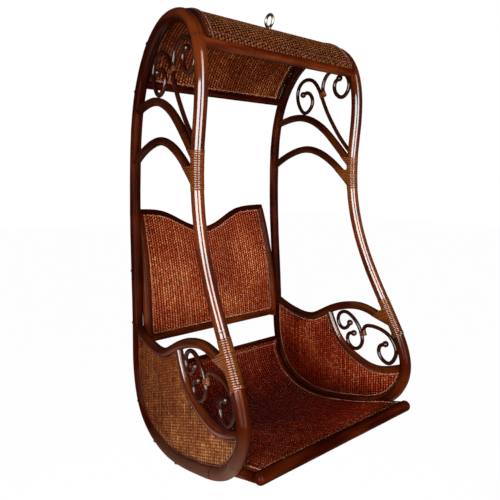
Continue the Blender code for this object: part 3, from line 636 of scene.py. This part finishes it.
def near_point(path, spot, before, after):
    """The stretch of a path before and after the point next to a spot."""
    here = lengths(path)[nearest(path, spot)]
    return at_lengths(path, np.linspace(here - before, here + after, 24))


def run_on(path, extra=0.06):
    """A path led straight on past its end."""
    step = path[-1] - path[-2]
    return np.vstack([path, path[-1] + extra * step / np.linalg.norm(step)])


strut_path, front_path = smooth(STRUT), smooth(FRONT_SCROLL)
s_path, c_path = smooth(S_SCROLL), smooth(C_SCROLL)
for label, side in SIDES:
    for name, axis, core, members, toward in (
            ("brace_binding", front_stretch(LOWER_BRACE_Z - 0.136, UPPER_BRACE_Z - 0.146), POLE_D,
             [(run_on(lower), BRACE_D, 0.054), (run_on(upper), BRACE_D, 0.040)], -1),
            ("arm_binding", front_stretch(ARM_FRONT_Z - 0.036, ARM_FRONT_Z + 0.070), POLE_D,
             [(run_on(arm), ARM_D, 0.052)], -1),
            ("strut_tie", near_point(strut_path, (0.062, -0.168), 0.008, 0.008), CANE_D,
             [(front_path[:24], CANE_D, 0.02)], 1),
            ("scroll_tie", near_point(s_path[::-1], (-0.129, -0.9603), 0.010, 0.006), CANE_D,
             [(c_path[:24], CANE_D, 0.02)], 1)):
        slim = name.endswith("tie")
        wrap = winding(f"{label}_{name}_strip", side, axis, core, members, toward,
                       TIE_W if slim else WRAP_W, TIE_PITCH if slim else WRAP_PITCH)
        fit(wrap, BINDING_LOOK, f"{label}_{name}")

# Woven side panels: upright stakes of flat oval reed with finer weavers passed in front of and behind
# them by turns, packed close. A twisted pair of cores runs along every edge, against the poles.
STAKE_PITCH, WEAVER_PITCH = 0.0098, 0.0044
STAKE_W, STAKE_D, WEAVER_T, WEAVER_W = 0.0074, 0.0044, 0.0022, 0.0078
STAKE_CREST, WAVE_SHARE, LEAST_SPAN = 0.64, 0.92, 0.006
COLUMNS = 400
REED_STOPS = (0.22, 0.5, 0.80)


def woven_look(name, inside, outside, shine=0.25):
    """Stained reed: tinted column by column, with painted shade sunk dark between the columns, low in the
    seat inside the chair and towards the rear on the outside. The chair's outside takes its own colours,
    which for the scoop and the back are a lighter, golder copy of the reed: painted light."""
    material, shader, start = finish_of(name)
    tint, crest, face = [start.marked(word) for word in ("tint", "crest", "face")]
    spot, depth, height = whereabouts(start)
    patch, cloud, fleck = spot.noise(6.5, 3.0), spot.noise(4.0), spot.noise(420.0)
    grain = start.node("ShaderNodeVectorMath", {"operation": "MULTIPLY"}, i0=spot, i1=(190, 190, 55))
    tone = tint * 0.42 + patch * 0.55 + fleck * 0.20 + grain.noise(1.0) * 0.45 - 0.305
    # Painted shade inside the chair, low in the seat.
    inner = (tone - (height * -2.2 - 2.46).maths("MAXIMUM", 0.0)).ramp(REED_STOPS, inside)
    # Painted shade on the outside, darker towards the rear.
    outer = (tone - depth * 0.42 - 0.04).ramp(REED_STOPS, outside)
    stain = (cloud * 3.0 - 1.3).limit(0.0, 0.6) * (1 - face * 0.75)
    stained = stain.blend(face.blend(inner, outer), shaded(inside[1], 0.5, 0.3, 0.5))
    # Painted shade: where the weavers cross between the stakes the colour sinks dark; the coat keeps to the
    # crests.
    open_side = (crest * 2.1 - 0.8).limit(0.0, 1.0)
    colour = open_side.blend(shaded(inside[0], 0.4, 0.4, 0.4), stained)
    feed(shader, Base_Color=colour, Roughness=0.42 + fleck * 0.2, Normal=fleck.bump(0.2, 0.0004))
    feed(shader, Coat_Weight=open_side * shine, Coat_Roughness=0.13, Specular_IOR_Level=0.0)
    return material


# The chair's outside takes a lighter, golder copy of the reed as painted light; the seat and the side panels
# take a darker, redder copy as painted shade.
LIT_OUTSIDE_REED = ((0.058, 0.0130, 0.0036), (0.245, 0.080, 0.0215), (0.660, 0.300, 0.105))
SHADED_SCOOP_REED = ((0.095, 0.0060, 0.0014), (0.400, 0.034, 0.0075), (0.920, 0.270, 0.095))
SCOOP_LOOK = woven_look("scoop_reed", SHADED_SCOOP_REED, LIT_OUTSIDE_REED)


def spans(outline, level, axis):
    """Stretches of a straight line at one level that lie inside an outline."""
    near, far = outline, np.roll(outline, -1, axis=0)
    cross = (near[:, axis] < level) != (far[:, axis] < level)
    share = (level - near[cross, axis]) / (far[cross, axis] - near[cross, axis])
    other = 1 - axis
    hits = np.sort(near[cross, other] + share * (far[cross, other] - near[cross, other]))
    return [(a, b) for a, b in zip(hits[0::2], hits[1::2]) if b - a > LEAST_SPAN]


def woven_piece(name, strands):
    """One piece of many strands: for each its rings of points, distances along it and its marks."""
    verts, faces, uvs, marks, count = [], [], [], {}, 0
    for rings, along, values in strands:
        sides = rings.shape[1]
        quads, caps = strand(rings)
        verts.append(rings.reshape(-1, 3))
        faces += (quads + count).tolist() + [tuple(c + count for c in cap) for cap in caps]
        around = np.arange(sides) / sides
        uvs.append(np.column_stack([np.repeat(along, sides), np.tile(around, len(along))]))
        for word, value in values.items():
            marks.setdefault(word, []).append(value)
        count += len(along) * sides
    marks = {word: np.concatenate(values) for word, values in marks.items()}
    return mesh_piece(name, np.vstack(verts), faces, np.vstack(uvs), **marks)


def weave(name, outline, surface, seed, outside, parts=1):
    """Stakes and weavers of one panel. The outline is flat; surface() carries it into space with normals,
    which point out of the chair where outside is 1 and into it where it is -1."""
    draw = np.random.default_rng(seed)
    low, high = outline.min(axis=0), outline.max(axis=0)
    middle = (low[0] + high[0]) / 2
    stakes = middle + STAKE_PITCH * np.arange(-math.floor((middle - low[0]) / STAKE_PITCH),
                                              math.floor((high[0] - middle) / STAKE_PITCH) + 1)
    rows = np.arange(low[1] + WEAVER_PITCH * 0.6, high[1], WEAVER_PITCH)
    columns = 0.5 + 0.06 * np.where(np.arange(COLUMNS) % 2, 1, -1) + draw.normal(0, 0.045, COLUMNS)
    lots = [("stakes", [(u, a, b, None) for u in stakes for a, b in spans(outline, u, 0)])]
    for part, chosen in enumerate(np.array_split(np.arange(len(rows)), parts)):
        word = f"weavers_{part + 1}" if parts > 1 else "weavers"
        lots.append((word, [(rows[i], a, b, i) for i in chosen for a, b in spans(outline, rows[i], 1)]))
    made = []
    for lot, jobs in lots:
        strands = []
        for level, a, b, row in jobs:
            if row is None:
                v = np.linspace(a, b, max(3, round((b - a) / 0.012)))
                u = np.full(len(v), level)
                # Stakes carry a middling crest mark, so they take part of the painted shade.
                wave, crest = np.zeros(len(v)), np.full(len(v), STAKE_CREST)
                half_w, half_t, sides = STAKE_W / 2, STAKE_D / 2, 6
            else:
                step = STAKE_PITCH / 4
                first, last = math.ceil((a - middle) / step), math.floor((b - middle) / step)
                u = np.unique(np.concatenate([[a], middle + step * np.arange(first, last + 1), [b]]))
                u = u[np.concatenate([[True], np.diff(u) > 0.0005])]
                v = level + draw.normal(0, 0.00025) + draw.normal(0, 0.0002, len(u))
                # The crest mark is 1 where a weaver passes a stake and 0 where it crosses between stakes;
                # the reed's material paints shade where it is low.
                swing = np.cos(np.pi * (u - middle) / STAKE_PITCH)
                wave = (1 if row % 2 else -1) * swing * (STAKE_D + WEAVER_T) / 2 * WAVE_SHARE
                crest = np.abs(swing)
                half_w = WEAVER_W / 2 * (0.76 + 0.24 * crest)[:, None] * draw.uniform(0.96, 1.04)
                half_t, sides = WEAVER_T / 2, 5
            at, normal, rise = surface(u, v)
            centre = at + normal * wave[:, None]
            run = headings(centre)
            if row is None:
                side, thick = np.cross(normal, run), normal
            else:
                side, thick = rise, np.cross(run, rise)
                thick *= np.sign((thick * normal).sum(axis=1))[:, None]
            angles = np.arange(sides) / sides * 2 * math.pi + math.pi / 2
            rings = np.stack([centre + side * (half_w * math.cos(t)) + thick * (half_t * math.sin(t))
                              for t in angles], axis=1)
            column = np.rint((u - middle) / STAKE_PITCH).astype(int) + COLUMNS // 2
            tint = (columns + draw.normal(0, 0.12, COLUMNS))[column]
            # The face mark, 1 on the chair's outside, picks the outside colours; for the scoop and the back
            # that is the painted-light copy.
            lift = (wave[:, None] + half_t * np.sin(angles)[None]) * outside
            strands.append((rings, lengths(centre), {
                "tint": np.repeat(tint, sides), "crest": np.repeat(crest, sides),
                "face": np.clip(0.5 + lift / STAKE_D, 0, 1).ravel()}))
        made.append(woven_piece(f"{name}_{lot}", strands))
    return made


EDGE_REED = ((0.13, 0.030, 0.010), (0.36, 0.105, 0.038), (0.66, 0.310, 0.160))
OUTER_EDGE_REED = ((0.045, 0.006, 0.002), (0.130, 0.027, 0.008), (0.300, 0.090, 0.035))
EDGE_LOOK = woven_look("edge_core", EDGE_REED, EDGE_REED, 0.8)
OUTER_EDGE_LOOK = woven_look("outer_edge_core", OUTER_EDGE_REED, OUTER_EDGE_REED, 0.35)
EDGE_D, EDGE_PITCH, EDGE_IN, EDGE_LIFT = 0.0034, 0.011, 0.0036, 0.0034


def twist(name, path, normals):
    """Two thin cores laid round each other along an edge."""
    along = lengths(path)
    stations = np.arange(0, along[-1], EDGE_PITCH / 7)
    middle, out = read_off(stations, along, path), read_off(stations, along, normals)
    run = headings(middle)
    side = unit(np.cross(run, out))
    out = np.cross(side, run)
    angles = np.arange(6) / 6 * 2 * math.pi
    strands = []
    for half in (0, math.pi):
        turn = stations / EDGE_PITCH * 2 * math.pi + half
        centre = middle + (side * np.cos(turn)[:, None] + out * np.sin(turn)[:, None]) * EDGE_D * 0.48
        rings = np.stack([centre + (side * math.cos(t) + out * math.sin(t)) * EDGE_D / 2 for t in angles],
                         axis=1)
        # The crest mark rises where a core lies outermost and falls where it passes under the other: painted
        # shade in the twist.
        strands.append((rings, stations, {
            "tint": np.full(len(stations) * len(angles), 0.4 + 0.2 * half / math.pi),
            "crest": np.repeat(0.76 + 0.2 * np.sin(turn), len(angles))}))
    piece = woven_piece(name, strands)
    pick(piece)
    bpy.ops.object.mode_set(mode="EDIT")
    bpy.ops.mesh.select_all(action="SELECT")
    bpy.ops.mesh.normals_make_consistent(inside=False)
    bpy.ops.object.mode_set(mode="OBJECT")
    return piece


def edging(name, surface, u, v, way, look):
    """A twisted edge laid on a sheet: on the face that its normals point to, or on the other."""
    points, normals, _ = surface(u, v)
    fit(twist(name, points + normals * way * EDGE_LIFT, normals * way), look, None)


def offset(path, distance):
    """A flat path moved sideways: outward for a stretch of the side loop."""
    along = headings(path)
    return path + distance * np.column_stack([-along[:, 1], along[:, 0]])


rear_start = nearest(loop, (crossing(ARM_Z, rear=True), ARM_Z))
toe_end = nearest(loop, (crossing(INNER_Z), INNER_Z))
hem = loop[rear_start:toe_end + 1]
rim = arm[arm[:, 0] > INNER_Y][::-1]
side_outline = np.vstack([hem, inner[::-1], rim])
for k, (label, side) in enumerate(SIDES):
    climb, face = side_axes(side)

    def side_surface(u, v):
        points = in_side(side, np.column_stack([u, v]))
        return points, np.tile(face, (len(points), 1)), np.tile(climb, (len(points), 1))

    for piece in weave(label + "_side", side_outline, side_surface, 61 + k, side):
        fit(piece, SCOOP_LOOK, label + "_woven_side")
    for word, way, look in (("inside", -side, EDGE_LOOK), ("outside", side, OUTER_EDGE_LOOK)):
        for part, stretch in (("hem", offset(hem, -POLE_D / 2 - EDGE_IN)),
                              ("fringe", offset(inner, INNER_RAIL_D / 2 + EDGE_IN)),
                              ("rim", offset(rim, -ARM_D / 2 - EDGE_IN))):
            edging(f"{label}_{part}_edge_{word}", side_surface, *stretch.T, way, look)

# Roof: a barrel of weaving sprung over the two arches between a thick front rail and a slimmer rear one,
# edged by a slim rib beside each arch. The ridge beam under it takes the hanging eye.
ROOF_FRONT_Z, ROOF_REAR_Z = -0.118, -0.165
ROOF_FRONT_D, ROOF_REAR_D, RIB_D, BEAM_D = 0.030, 0.022, 0.013, 0.026
RIB_RISE, VAULT_RISE, GAP, RAIL_SHORT = 0.0135, 0.016, 0.0003, 0.006
ROOF_EDGE_REACH, RIB_CLEAR = 0.255, 0.010


def half_width(z):
    """How far a side pole's axis is from the middle of the chair, at a height."""
    return HALF_WIDTH - SPLAY * z


def rail(name, y, z, diameter, node, seed, short=RAIL_SHORT, look=POLE_LOOK):
    """Straight stem between the two side poles."""
    half = half_width(z) - short
    line = np.linspace((-half, y, z), (half, y, z), 200)
    fit(ringed_stem(name, line, diameter, 0.02, seed), look, node)


front_y, rear_y = crossing(ROOF_FRONT_Z), crossing(ROOF_REAR_Z, rear=True)
rail("roof_front_pole", front_y, ROOF_FRONT_Z, ROOF_FRONT_D, "roof_front_rail", 71)
rail("roof_rear_pole", rear_y, ROOF_REAR_Z, ROOF_REAR_D, "roof_rear_rail", 72)
crown = loop[(loop[:, 1] > ROOF_REAR_Z) & ((loop[:, 1] > ROOF_FRONT_Z) | (loop[:, 0] > CROWN_Y))]
arch = np.vstack([[(front_y, ROOF_FRONT_Z)], crown, [(rear_y, ROOF_REAR_Z)]])
beam_z = height_at(arch, 0)
rail("ridge_pole", 0, beam_z, BEAM_D, "ridge_beam", 73)
rib_in = math.sqrt(((POLE_D + RIB_D) / 2 + GAP)**2 - RIB_RISE**2)
for k, (label, side) in enumerate(SIDES):
    rib = ringed_stem(label + "_rib_cane", offset(arch, RIB_RISE), RIB_D, 0.006, 75 + k, side, rib_in,
                      sides=16)
    fit(rib, SCROLL_LOOK, label + "_roof_rib")


def barrel(path, inset, count):
    """A sheet that runs straight across and follows a path from front to back: its surface, levels along
    it, its half width at each of them and its flat outline."""
    along, step = lengths(path), headings(path)
    levels = np.linspace(0, along[-1], count)
    half = half_width(np.interp(levels, along, path[:, 1])) - inset
    outline = np.vstack([np.column_stack([half, levels]), np.column_stack([-half, levels])[::-1]])

    def surface(u, v):
        run, flat = read_off(v, along, step), np.zeros(len(u))
        return (np.column_stack([u, read_off(v, along, path)]),
                np.column_stack([flat, -run[:, 1], run[:, 0]]), np.column_stack([flat, run]))

    return surface, levels, half, outline


def edged(name, surface, levels, flank, ends, reach, looks):
    """Twisted edges on both faces of a barrel sheet: along its flanks, then across its ends."""
    across = np.linspace(-reach, reach, 120)
    for word, way, look in zip(("top", "under"), (1, -1), looks):
        for label, side in SIDES:
            edging(f"{name}_{label}_edge_{word}", surface, side * flank, levels, way, look)
        for end, level in zip(("front", "rear"), ends):
            edging(f"{name}_{end}_edge_{word}", surface, across, np.full(120, level), way, look)


ROOF_LOOK = woven_look("roof_reed", ((0.060, 0.0080, 0.0022), (0.260, 0.050, 0.0110), (0.620, 0.220, 0.070)),
                       ((0.045, 0.0110, 0.0024), (0.165, 0.047, 0.0100), (0.380, 0.145, 0.042)), 0.14)
roof_surface, levels, vault_half, roof_outline = barrel(offset(arch, VAULT_RISE), rib_in, 40)
for piece in weave("roof", roof_outline, roof_surface, 81, 1, parts=2):
    fit(piece, ROOF_LOOK, "woven_roof")
ends = ROOF_FRONT_D / 2 + EDGE_IN, levels[-1] - ROOF_REAR_D / 2 - EDGE_IN
edged("roof", roof_surface, levels, vault_half - RIB_CLEAR, ends, ROOF_EDGE_REACH,
      (OUTER_EDGE_LOOK, EDGE_LOOK))

# Hanging eye: a forged steel eye bolt, plated and a little dull. Its shank goes down through the ridge beam
# and turns there on a washer, under a hexagon nut.
RING_R, WIRE_D, SHANK_D = 0.0165, 0.008, 0.008
WASHER_D, WASHER_T, NUT_AF, NUT_H = 0.026, 0.002, 0.013, 0.0065
WASHER_EDGE, NUT_EDGE, SHANK_TAIL, NECK_GAP = 0.0004, 0.0007, 0.0055, 0.0007


def plated_steel():
    material, shader, start = finish_of("plated_steel")
    spot = start.node("ShaderNodeTexCoord", out=3)
    cloud, scuff = spot.noise(140.0, 4.0), spot.noise(900.0, 3.0)
    colour = cloud.ramp((0.3, 0.7), ((0.13, 0.105, 0.080), (0.32, 0.27, 0.21)))
    feed(shader, Base_Color=colour, Roughness=0.26 + cloud * 0.2, Normal=scuff.bump(0.12, 0.0003),
         Metallic=1.0)
    return material


STEEL_LOOK = plated_steel()


def applied(name):
    """The active object, named, with its place moved into its mesh."""
    piece = bpy.context.object
    piece.name = piece.data.name = name
    bpy.ops.object.transform_apply(location=True, rotation=True, scale=True)
    return piece


def disc(name, sides, radius, depth, edge, place, turn=(0, 0, 0), segments=2):
    """A short cylinder or prism with its sharp edges rounded."""
    pick()
    bpy.ops.mesh.primitive_cylinder_add(vertices=sides, radius=radius, depth=depth, location=place,
                                        rotation=turn)
    piece = applied(name)
    bevel = piece.modifiers.new("edges", "BEVEL")
    bevel.width, bevel.segments = edge, segments
    bevel.limit_method, bevel.angle_limit = "ANGLE", math.radians(40)
    bpy.ops.object.modifier_apply(modifier="edges")
    bpy.ops.object.shade_smooth_by_angle(angle=math.radians(50))
    return piece


def joined(name, pieces):
    """Several meshes made one piece."""
    pick(*pieces)
    bpy.ops.object.join()
    pieces[0].name = pieces[0].data.name = name
    return pieces[0]


neck_foot = beam_z + BEAM_D / 2 + GAP
neck_top = -RING_R - NECK_GAP
washer_top = beam_z - BEAM_D / 2 - GAP
nut_top = washer_top - WASHER_T - GAP
shank_foot = nut_top - NUT_H - SHANK_TAIL
pick()
bpy.ops.mesh.primitive_torus_add(major_radius=RING_R, minor_radius=WIRE_D / 2, major_segments=72,
                                 minor_segments=24, rotation=(0, math.pi / 2, 0))
ring = applied("eye_ring")
bpy.ops.object.shade_smooth()
stations = np.array((neck_top + 0.004, neck_top, neck_top - 0.002, neck_foot + 0.003, neck_foot + 0.0012,
                     neck_foot, neck_foot - 0.0002, shank_foot + 0.0012, shank_foot))
radii = np.array((0.0042, 0.0050, 0.0058, 0.0058, 0.0066, 0.0068, 0.0039, 0.0039, 0.0032))
shank_line = np.column_stack([np.zeros(9), np.zeros(9), stations])
bolt = stem("eye_shank", shank_line, SHANK_D, radii / (SHANK_D / 2), sides=24)
fit(joined("forged_eye", [ring, bolt]), STEEL_LOOK, "eye_bolt", "hanging_eye")
washer = disc("round_washer", 48, WASHER_D / 2, WASHER_T, WASHER_EDGE, (0, 0, washer_top - WASHER_T / 2))
fit(washer, STEEL_LOOK, "eye_washer", "hanging_eye")
nut = disc("hexagon_nut", 6, NUT_AF / math.sqrt(3), NUT_H, NUT_EDGE, (0, 0, nut_top - NUT_H / 2))
fit(nut, STEEL_LOOK, "eye_nut", "hanging_eye")

# Back: two stout stiles that curve to the rear, a slim waved rail laid over their ends and a foot rail
# between them, with the weaving stretched inside. The stiles stand against the side poles, screwed to them.
STILE_D, BACK_RAIL_D, BACK_FOOT_D = 0.032, 0.020, 0.028
BACK_FOOT_Y, BACK_FOOT_Z = 0.298, BOTTOM_Z + 0.279
BACK_TOP_Z = BACK_FOOT_Z + 0.424
BACK_DIP, BACK_CURVE, BACK_BOW, STILE_SET, RAIL_SET = 0.0755, 0.45, 0.040, 0.007, 0.003
TOP_WAVE = ((-1.045, 0), (-0.77, 0.057), (-0.617, 0.16), (-0.443, 0.437), (-0.289, 0.722),
            (-0.116, 0.947), (0, 1))
SHEET_IN, SHEET_EDGE_IN = 0.0125, 0.0172
STILE_LOOK = varnished("stile_varnish", (0.055, 0.0070, 0.0014), (0.135, 0.0230, 0.0042),
                       (0.230, 0.056, 0.0110), gloss=0.04)
stile_in = (POLE_D + STILE_D) / 2 + GAP
top_half = half_width(BACK_TOP_Z) - stile_in


def back_y(x, z):
    """How far back the sheet of the back lies."""
    rise = np.maximum(0, z - BACK_FOOT_Z)
    share = np.minimum(1, rise / (BACK_TOP_Z - BACK_FOOT_Z))
    return BACK_FOOT_Y + BACK_CURVE * rise**2 + BACK_BOW * share * (1 - (x / top_half)**2)


for k, (label, side) in enumerate(SIDES):
    heights = np.concatenate([[BACK_FOOT_Z - 0.018, BACK_FOOT_Z - 0.0165, BACK_FOOT_Z - 0.014],
                              np.linspace(BACK_FOOT_Z - 0.010, BACK_TOP_Z - 0.012, 80),
                              [BACK_TOP_Z - 0.0085, BACK_TOP_Z - 0.0065, BACK_TOP_Z - 0.0058]])
    rise = np.maximum(0, heights - BACK_FOOT_Z)
    line = np.column_stack([side * (half_width(heights) - stile_in),
                            BACK_FOOT_Y + BACK_CURVE * rise**2 + STILE_SET, heights])
    post = ringed_stem(label + "_back_post", line, STILE_D, 0.004, 89 + k, blunt=0.005, sides=24)
    fit(post, STILE_LOOK, label + "_back_stile")
half_rail = []
for share, drop in TOP_WAVE:
    x, z = share * top_half, BACK_TOP_Z - drop * BACK_DIP
    half_rail.append((x, float(back_y(x, z)) + RAIL_SET, z))
top_path = smooth(half_rail + [(-x, y, z) for x, y, z in half_rail[-2::-1]])
top_rail = ringed_stem("back_top_cane", top_path, BACK_RAIL_D, 0.003, 91, blunt=0.006)
fit(top_rail, POLE_LOOK, "back_top_rail")
rail("back_foot_cane", BACK_FOOT_Y + RAIL_SET, BACK_FOOT_Z, BACK_FOOT_D, "back_foot_rail", 92,
     stile_in + RAIL_SHORT, STILE_LOOK)


def back_surface(u, v):
    """The back's sheet: it curves to the rear and is bowed in its middle."""
    step = 0.002
    points = np.column_stack([u, back_y(u, v), v])
    across = np.column_stack([u + step, back_y(u + step, v), v]) - points
    rise = np.column_stack([u, back_y(u, v + step), v + step]) - points
    return points, unit(np.cross(across, rise)), unit(rise)


def back_border(inset, count=120):
    """Outline of the sheet, this far inside the axes of its frame: sides and top, then the foot."""
    head = top_path[np.abs(top_path[:, 0]) < top_half - inset][:, [0, 2]] - (0, inset * 0.7)
    heights = np.linspace(BACK_FOOT_Z + inset, head[0, 1], count)
    flank = half_width(heights) - stile_in - inset
    foot = np.column_stack([np.linspace(-flank[0], flank[0], count), np.full(count, heights[0])])
    sides = [np.column_stack([side * flank, heights]) for _, side in SIDES]
    return np.vstack([sides[0], head, sides[1][::-1]]), foot


BACK_REED = ((0.125, 0.0110, 0.0025), (0.520, 0.082, 0.0170), (0.920, 0.370, 0.140))
BACK_LOOK = woven_look("back_reed", BACK_REED, LIT_OUTSIDE_REED)
for piece in weave("back", back_border(SHEET_IN)[0], back_surface, 95, -1, parts=2):
    fit(piece, BACK_LOOK, "woven_back")
for word, way in (("front", 1), ("rear", -1)):
    for part, edge in zip(("frame", "foot"), back_border(SHEET_EDGE_IN)):
        edging(f"back_{part}_edge_{word}", back_surface, *edge.T, way, EDGE_LOOK)

# Seat: a scoop of weaving on two rails that follow the bottom of the side poles, from a rear rail down and
# up again to a thick front rail with rounded ends. Two bars across carry it from below.
SEAT_RAIL_D, SEAT_REAR_D, SEAT_FRONT_D, CROSS_BAR_D = 0.024, 0.022, 0.032, 0.018
SEAT_REAR_Y, SEAT_REAR_Z = 0.290, BOTTOM_Z + 0.162
SEAT_FRONT_Y, SEAT_FRONT_Z = -0.328, BOTTOM_Z + 0.132
SEAT_FRONT_L, SEAT_RISE, SEAT_EDGE_REACH = 0.582, 0.008, 0.268
CROSS_BAR_Y, CROSS_BAR_DROP = (0.150, -0.015), 0.0045
rail_in = (POLE_D + SEAT_RAIL_D) / 2 + GAP
hull = loop[(loop[:, 1] < SEAT_REAR_Z - 0.045) & (loop[:, 0] > TOE_Y + 0.125)]
seat_path = smooth(np.vstack([[(SEAT_REAR_Y, SEAT_REAR_Z)], hull[::12],
                              [(SEAT_FRONT_Y + 0.10, SEAT_FRONT_Z - 0.039), (SEAT_FRONT_Y, SEAT_FRONT_Z)]]))
rail("seat_rear_pole", SEAT_REAR_Y, SEAT_REAR_Z, SEAT_REAR_D, "seat_rear_rail", 101, 0.014)
reach = SEAT_FRONT_L / 2
line = np.linspace((-reach, SEAT_FRONT_Y, SEAT_FRONT_Z), (reach, SEAT_FRONT_Y, SEAT_FRONT_Z), 400)
front_pole = ringed_stem("seat_front_pole", line, SEAT_FRONT_D, 0.004, 102, blunt=0.012, sides=24)
fit(front_pole, POLE_LOOK, "seat_front_rail")
for k, (label, side) in enumerate(SIDES):
    bent = ringed_stem(label + "_seat_pole", trimmed(seat_path, 0.010, 0.014), SEAT_RAIL_D, 0.006, 103 + k,
                       side, rail_in)
    fit(bent, POLE_LOOK, label + "_seat_rail")
seat_surface, levels, seat_half, seat_outline = barrel(offset(seat_path, -SEAT_RISE)[::-1], rail_in, 60)
for piece in weave("seat", seat_outline, seat_surface, 111, -1, parts=3):
    fit(piece, SCOOP_LOOK, "woven_seat")
flank = seat_half - SEAT_RAIL_D / 2 - EDGE_IN
ends = SEAT_FRONT_D / 2 + EDGE_IN, levels[-1] - SEAT_REAR_D / 2 - EDGE_IN
edged("seat", seat_surface, levels, flank, ends, SEAT_EDGE_REACH, (EDGE_LOOK, EDGE_LOOK))
for k, (name, y) in enumerate(zip(("rear_cross_bar", "front_cross_bar"), CROSS_BAR_Y)):
    z = height_at(seat_path[seat_path[:, 1] < SEAT_REAR_Z - 0.06], y) - CROSS_BAR_DROP
    rail(name + "_pole", y, z, CROSS_BAR_D, name, 121 + k, rail_in + 0.004)

# Screws: round-headed steel screws, driven slantwise from outside through the rear of each side pole into
# the roof ribs, the arm, the back's stile and the seat rail, and stained over with the poles.
SCREW_D, SCREW_DEPTH, SCREW_PROUD, SCREW_EDGE = 0.0085, 0.0042, 0.0022, 0.0018
SCREW_OUT, SCREW_REAR = 0.80, 0.60
SCREWS = ((0.190, -0.075), (0.284, -0.185), (0.318, -0.748), (0.310, -0.923), (0.268, -1.178),
          (0.150, -1.245), (0.010, -1.252))
for label, side in SIDES:
    heads = []
    for spot in SCREWS:
        i = nearest(loop[1:-1], spot) + 1
        run = (loop[i + 1] - loop[i - 1]) / np.linalg.norm(loop[i + 1] - loop[i - 1])
        drive = Vector((side * SCREW_OUT, -run[1] * SCREW_REAR, run[0] * SCREW_REAR))
        depth = drive * (POLE_D / 2 + SCREW_PROUD - SCREW_DEPTH / 2)
        heads.append(disc(label + "_screw", 20, SCREW_D / 2, SCREW_DEPTH, SCREW_EDGE,
                          Vector(in_side(side, loop[i:i + 1])[0]) + depth,
                          drive.to_track_quat("Z", "Y").to_euler(), segments=3))
    fit(joined(label + "_screw_heads", heads), SCROLL_LOOK, None)

# Studio: a white paper floor well below the chair, a surround that only the camera sees white, soft boxes
# all round and two lamps that show only in the varnish.
FLOOR_Z = -2.60
pick()
bpy.ops.mesh.primitive_plane_add(size=40, location=(0, 0, FLOOR_Z))
floor = applied("paper_floor")
material, shader, start = finish_of("paper")
grain = start.node("ShaderNodeTexCoord", out=3).noise(3.0)
feed(shader, Base_Color=grain.blend((0.90, 0.90, 0.90, 1), (0.93, 0.93, 0.93, 1)), Roughness=0.9)
glow = start.node("ShaderNodeEmission", Color=(1, 1, 1, 1), Strength=1.0)
paper = Sum(material.node_tree, shader.outputs[0])
mixed = start.node("ShaderNodeMixShader", i0=start.node("ShaderNodeLightPath") * 0.985, i1=paper, i2=glow)
plug(material.node_tree.nodes["Material Output"].inputs[0], mixed)
floor.data.materials.append(material)

world = bpy.context.scene.world or bpy.data.worlds.new("daylight")
bpy.context.scene.world = world
world.use_nodes = True
tree = world.node_tree
tree.nodes.clear()
ray = Sum(tree).node("ShaderNodeLightPath")
seen = ray.maths("MAXIMUM", (ray.beside(3) + ray.beside(6)) * 0.03)
sky = ray.node("ShaderNodeBackground", Color=(1, 1, 1, 1), Strength=seen * 0.97 + 0.03)
plug(tree.nodes.new("ShaderNodeOutputWorld").inputs[0], sky)


def lamp(name, place, aim, size, power, shine=False):
    """A soft box. One that shines is seen in the varnish and gives no other light."""
    light = bpy.data.lights.new(name, "AREA")
    light.shape, light.size, light.size_y, light.energy = "RECTANGLE", *size, power
    body = bpy.data.objects.new(name, light)
    bpy.context.scene.collection.objects.link(body)
    body.location = place
    body.rotation_euler = (Vector(aim) - Vector(place)).to_track_quat("-Z", "Y").to_euler()
    body.visible_glossy, body.visible_diffuse = shine, not shine


lamp("left_box", (-2.10, -1.05, -0.95), (-0.29, -0.09, -0.90), (1.2, 1.8), 54)
lamp("front_box", (-0.55, -2.22, -0.40), (-0.10, -0.05, -0.65), (1.2, 1.8), 54)
lamp("top_box", (0.2, -0.4, 1.7), (0, 0, -0.6), (1.6, 1.6), 5)
lamp("rear_box", (-0.4, 2.9, -0.3), (0, 0, -0.7), (1.8, 1.8), 60)
lamp("right_box", (2.7, 0.7, -0.5), (0, 0, -0.7), (1.6, 1.8), 45)
lamp("left_strip", (-2.05, -1.15, -0.55), (-0.29, -0.09, -0.55), (1.60, 1.80), 180, shine=True)
lamp("front_strip", (-0.33, -2.28, 0.10), (-0.29, -0.09, 0.10), (1.20, 3.10), 215, shine=True)

CAMERA_SPOT = (-0.844, -1.054, -0.448)
CAMERA_DIP, CAMERA_ROLL, CAMERA_TURN = 9.14, -0.1, -36.37
FOCAL_PX, PHOTO_PX, SENSOR_MM = 440, 500, 36
camera = bpy.data.objects.new("camera", bpy.data.cameras.new("camera"))
bpy.context.scene.collection.objects.link(camera)
camera.location = CAMERA_SPOT
camera.rotation_euler = (math.radians(90 - CAMERA_DIP), math.radians(CAMERA_ROLL), math.radians(CAMERA_TURN))
camera.data.sensor_width = SENSOR_MM
camera.data.lens = FOCAL_PX / PHOTO_PX * SENSOR_MM
bpy.context.scene.camera = camera
bpy.context.scene.view_settings.view_transform = "Standard"
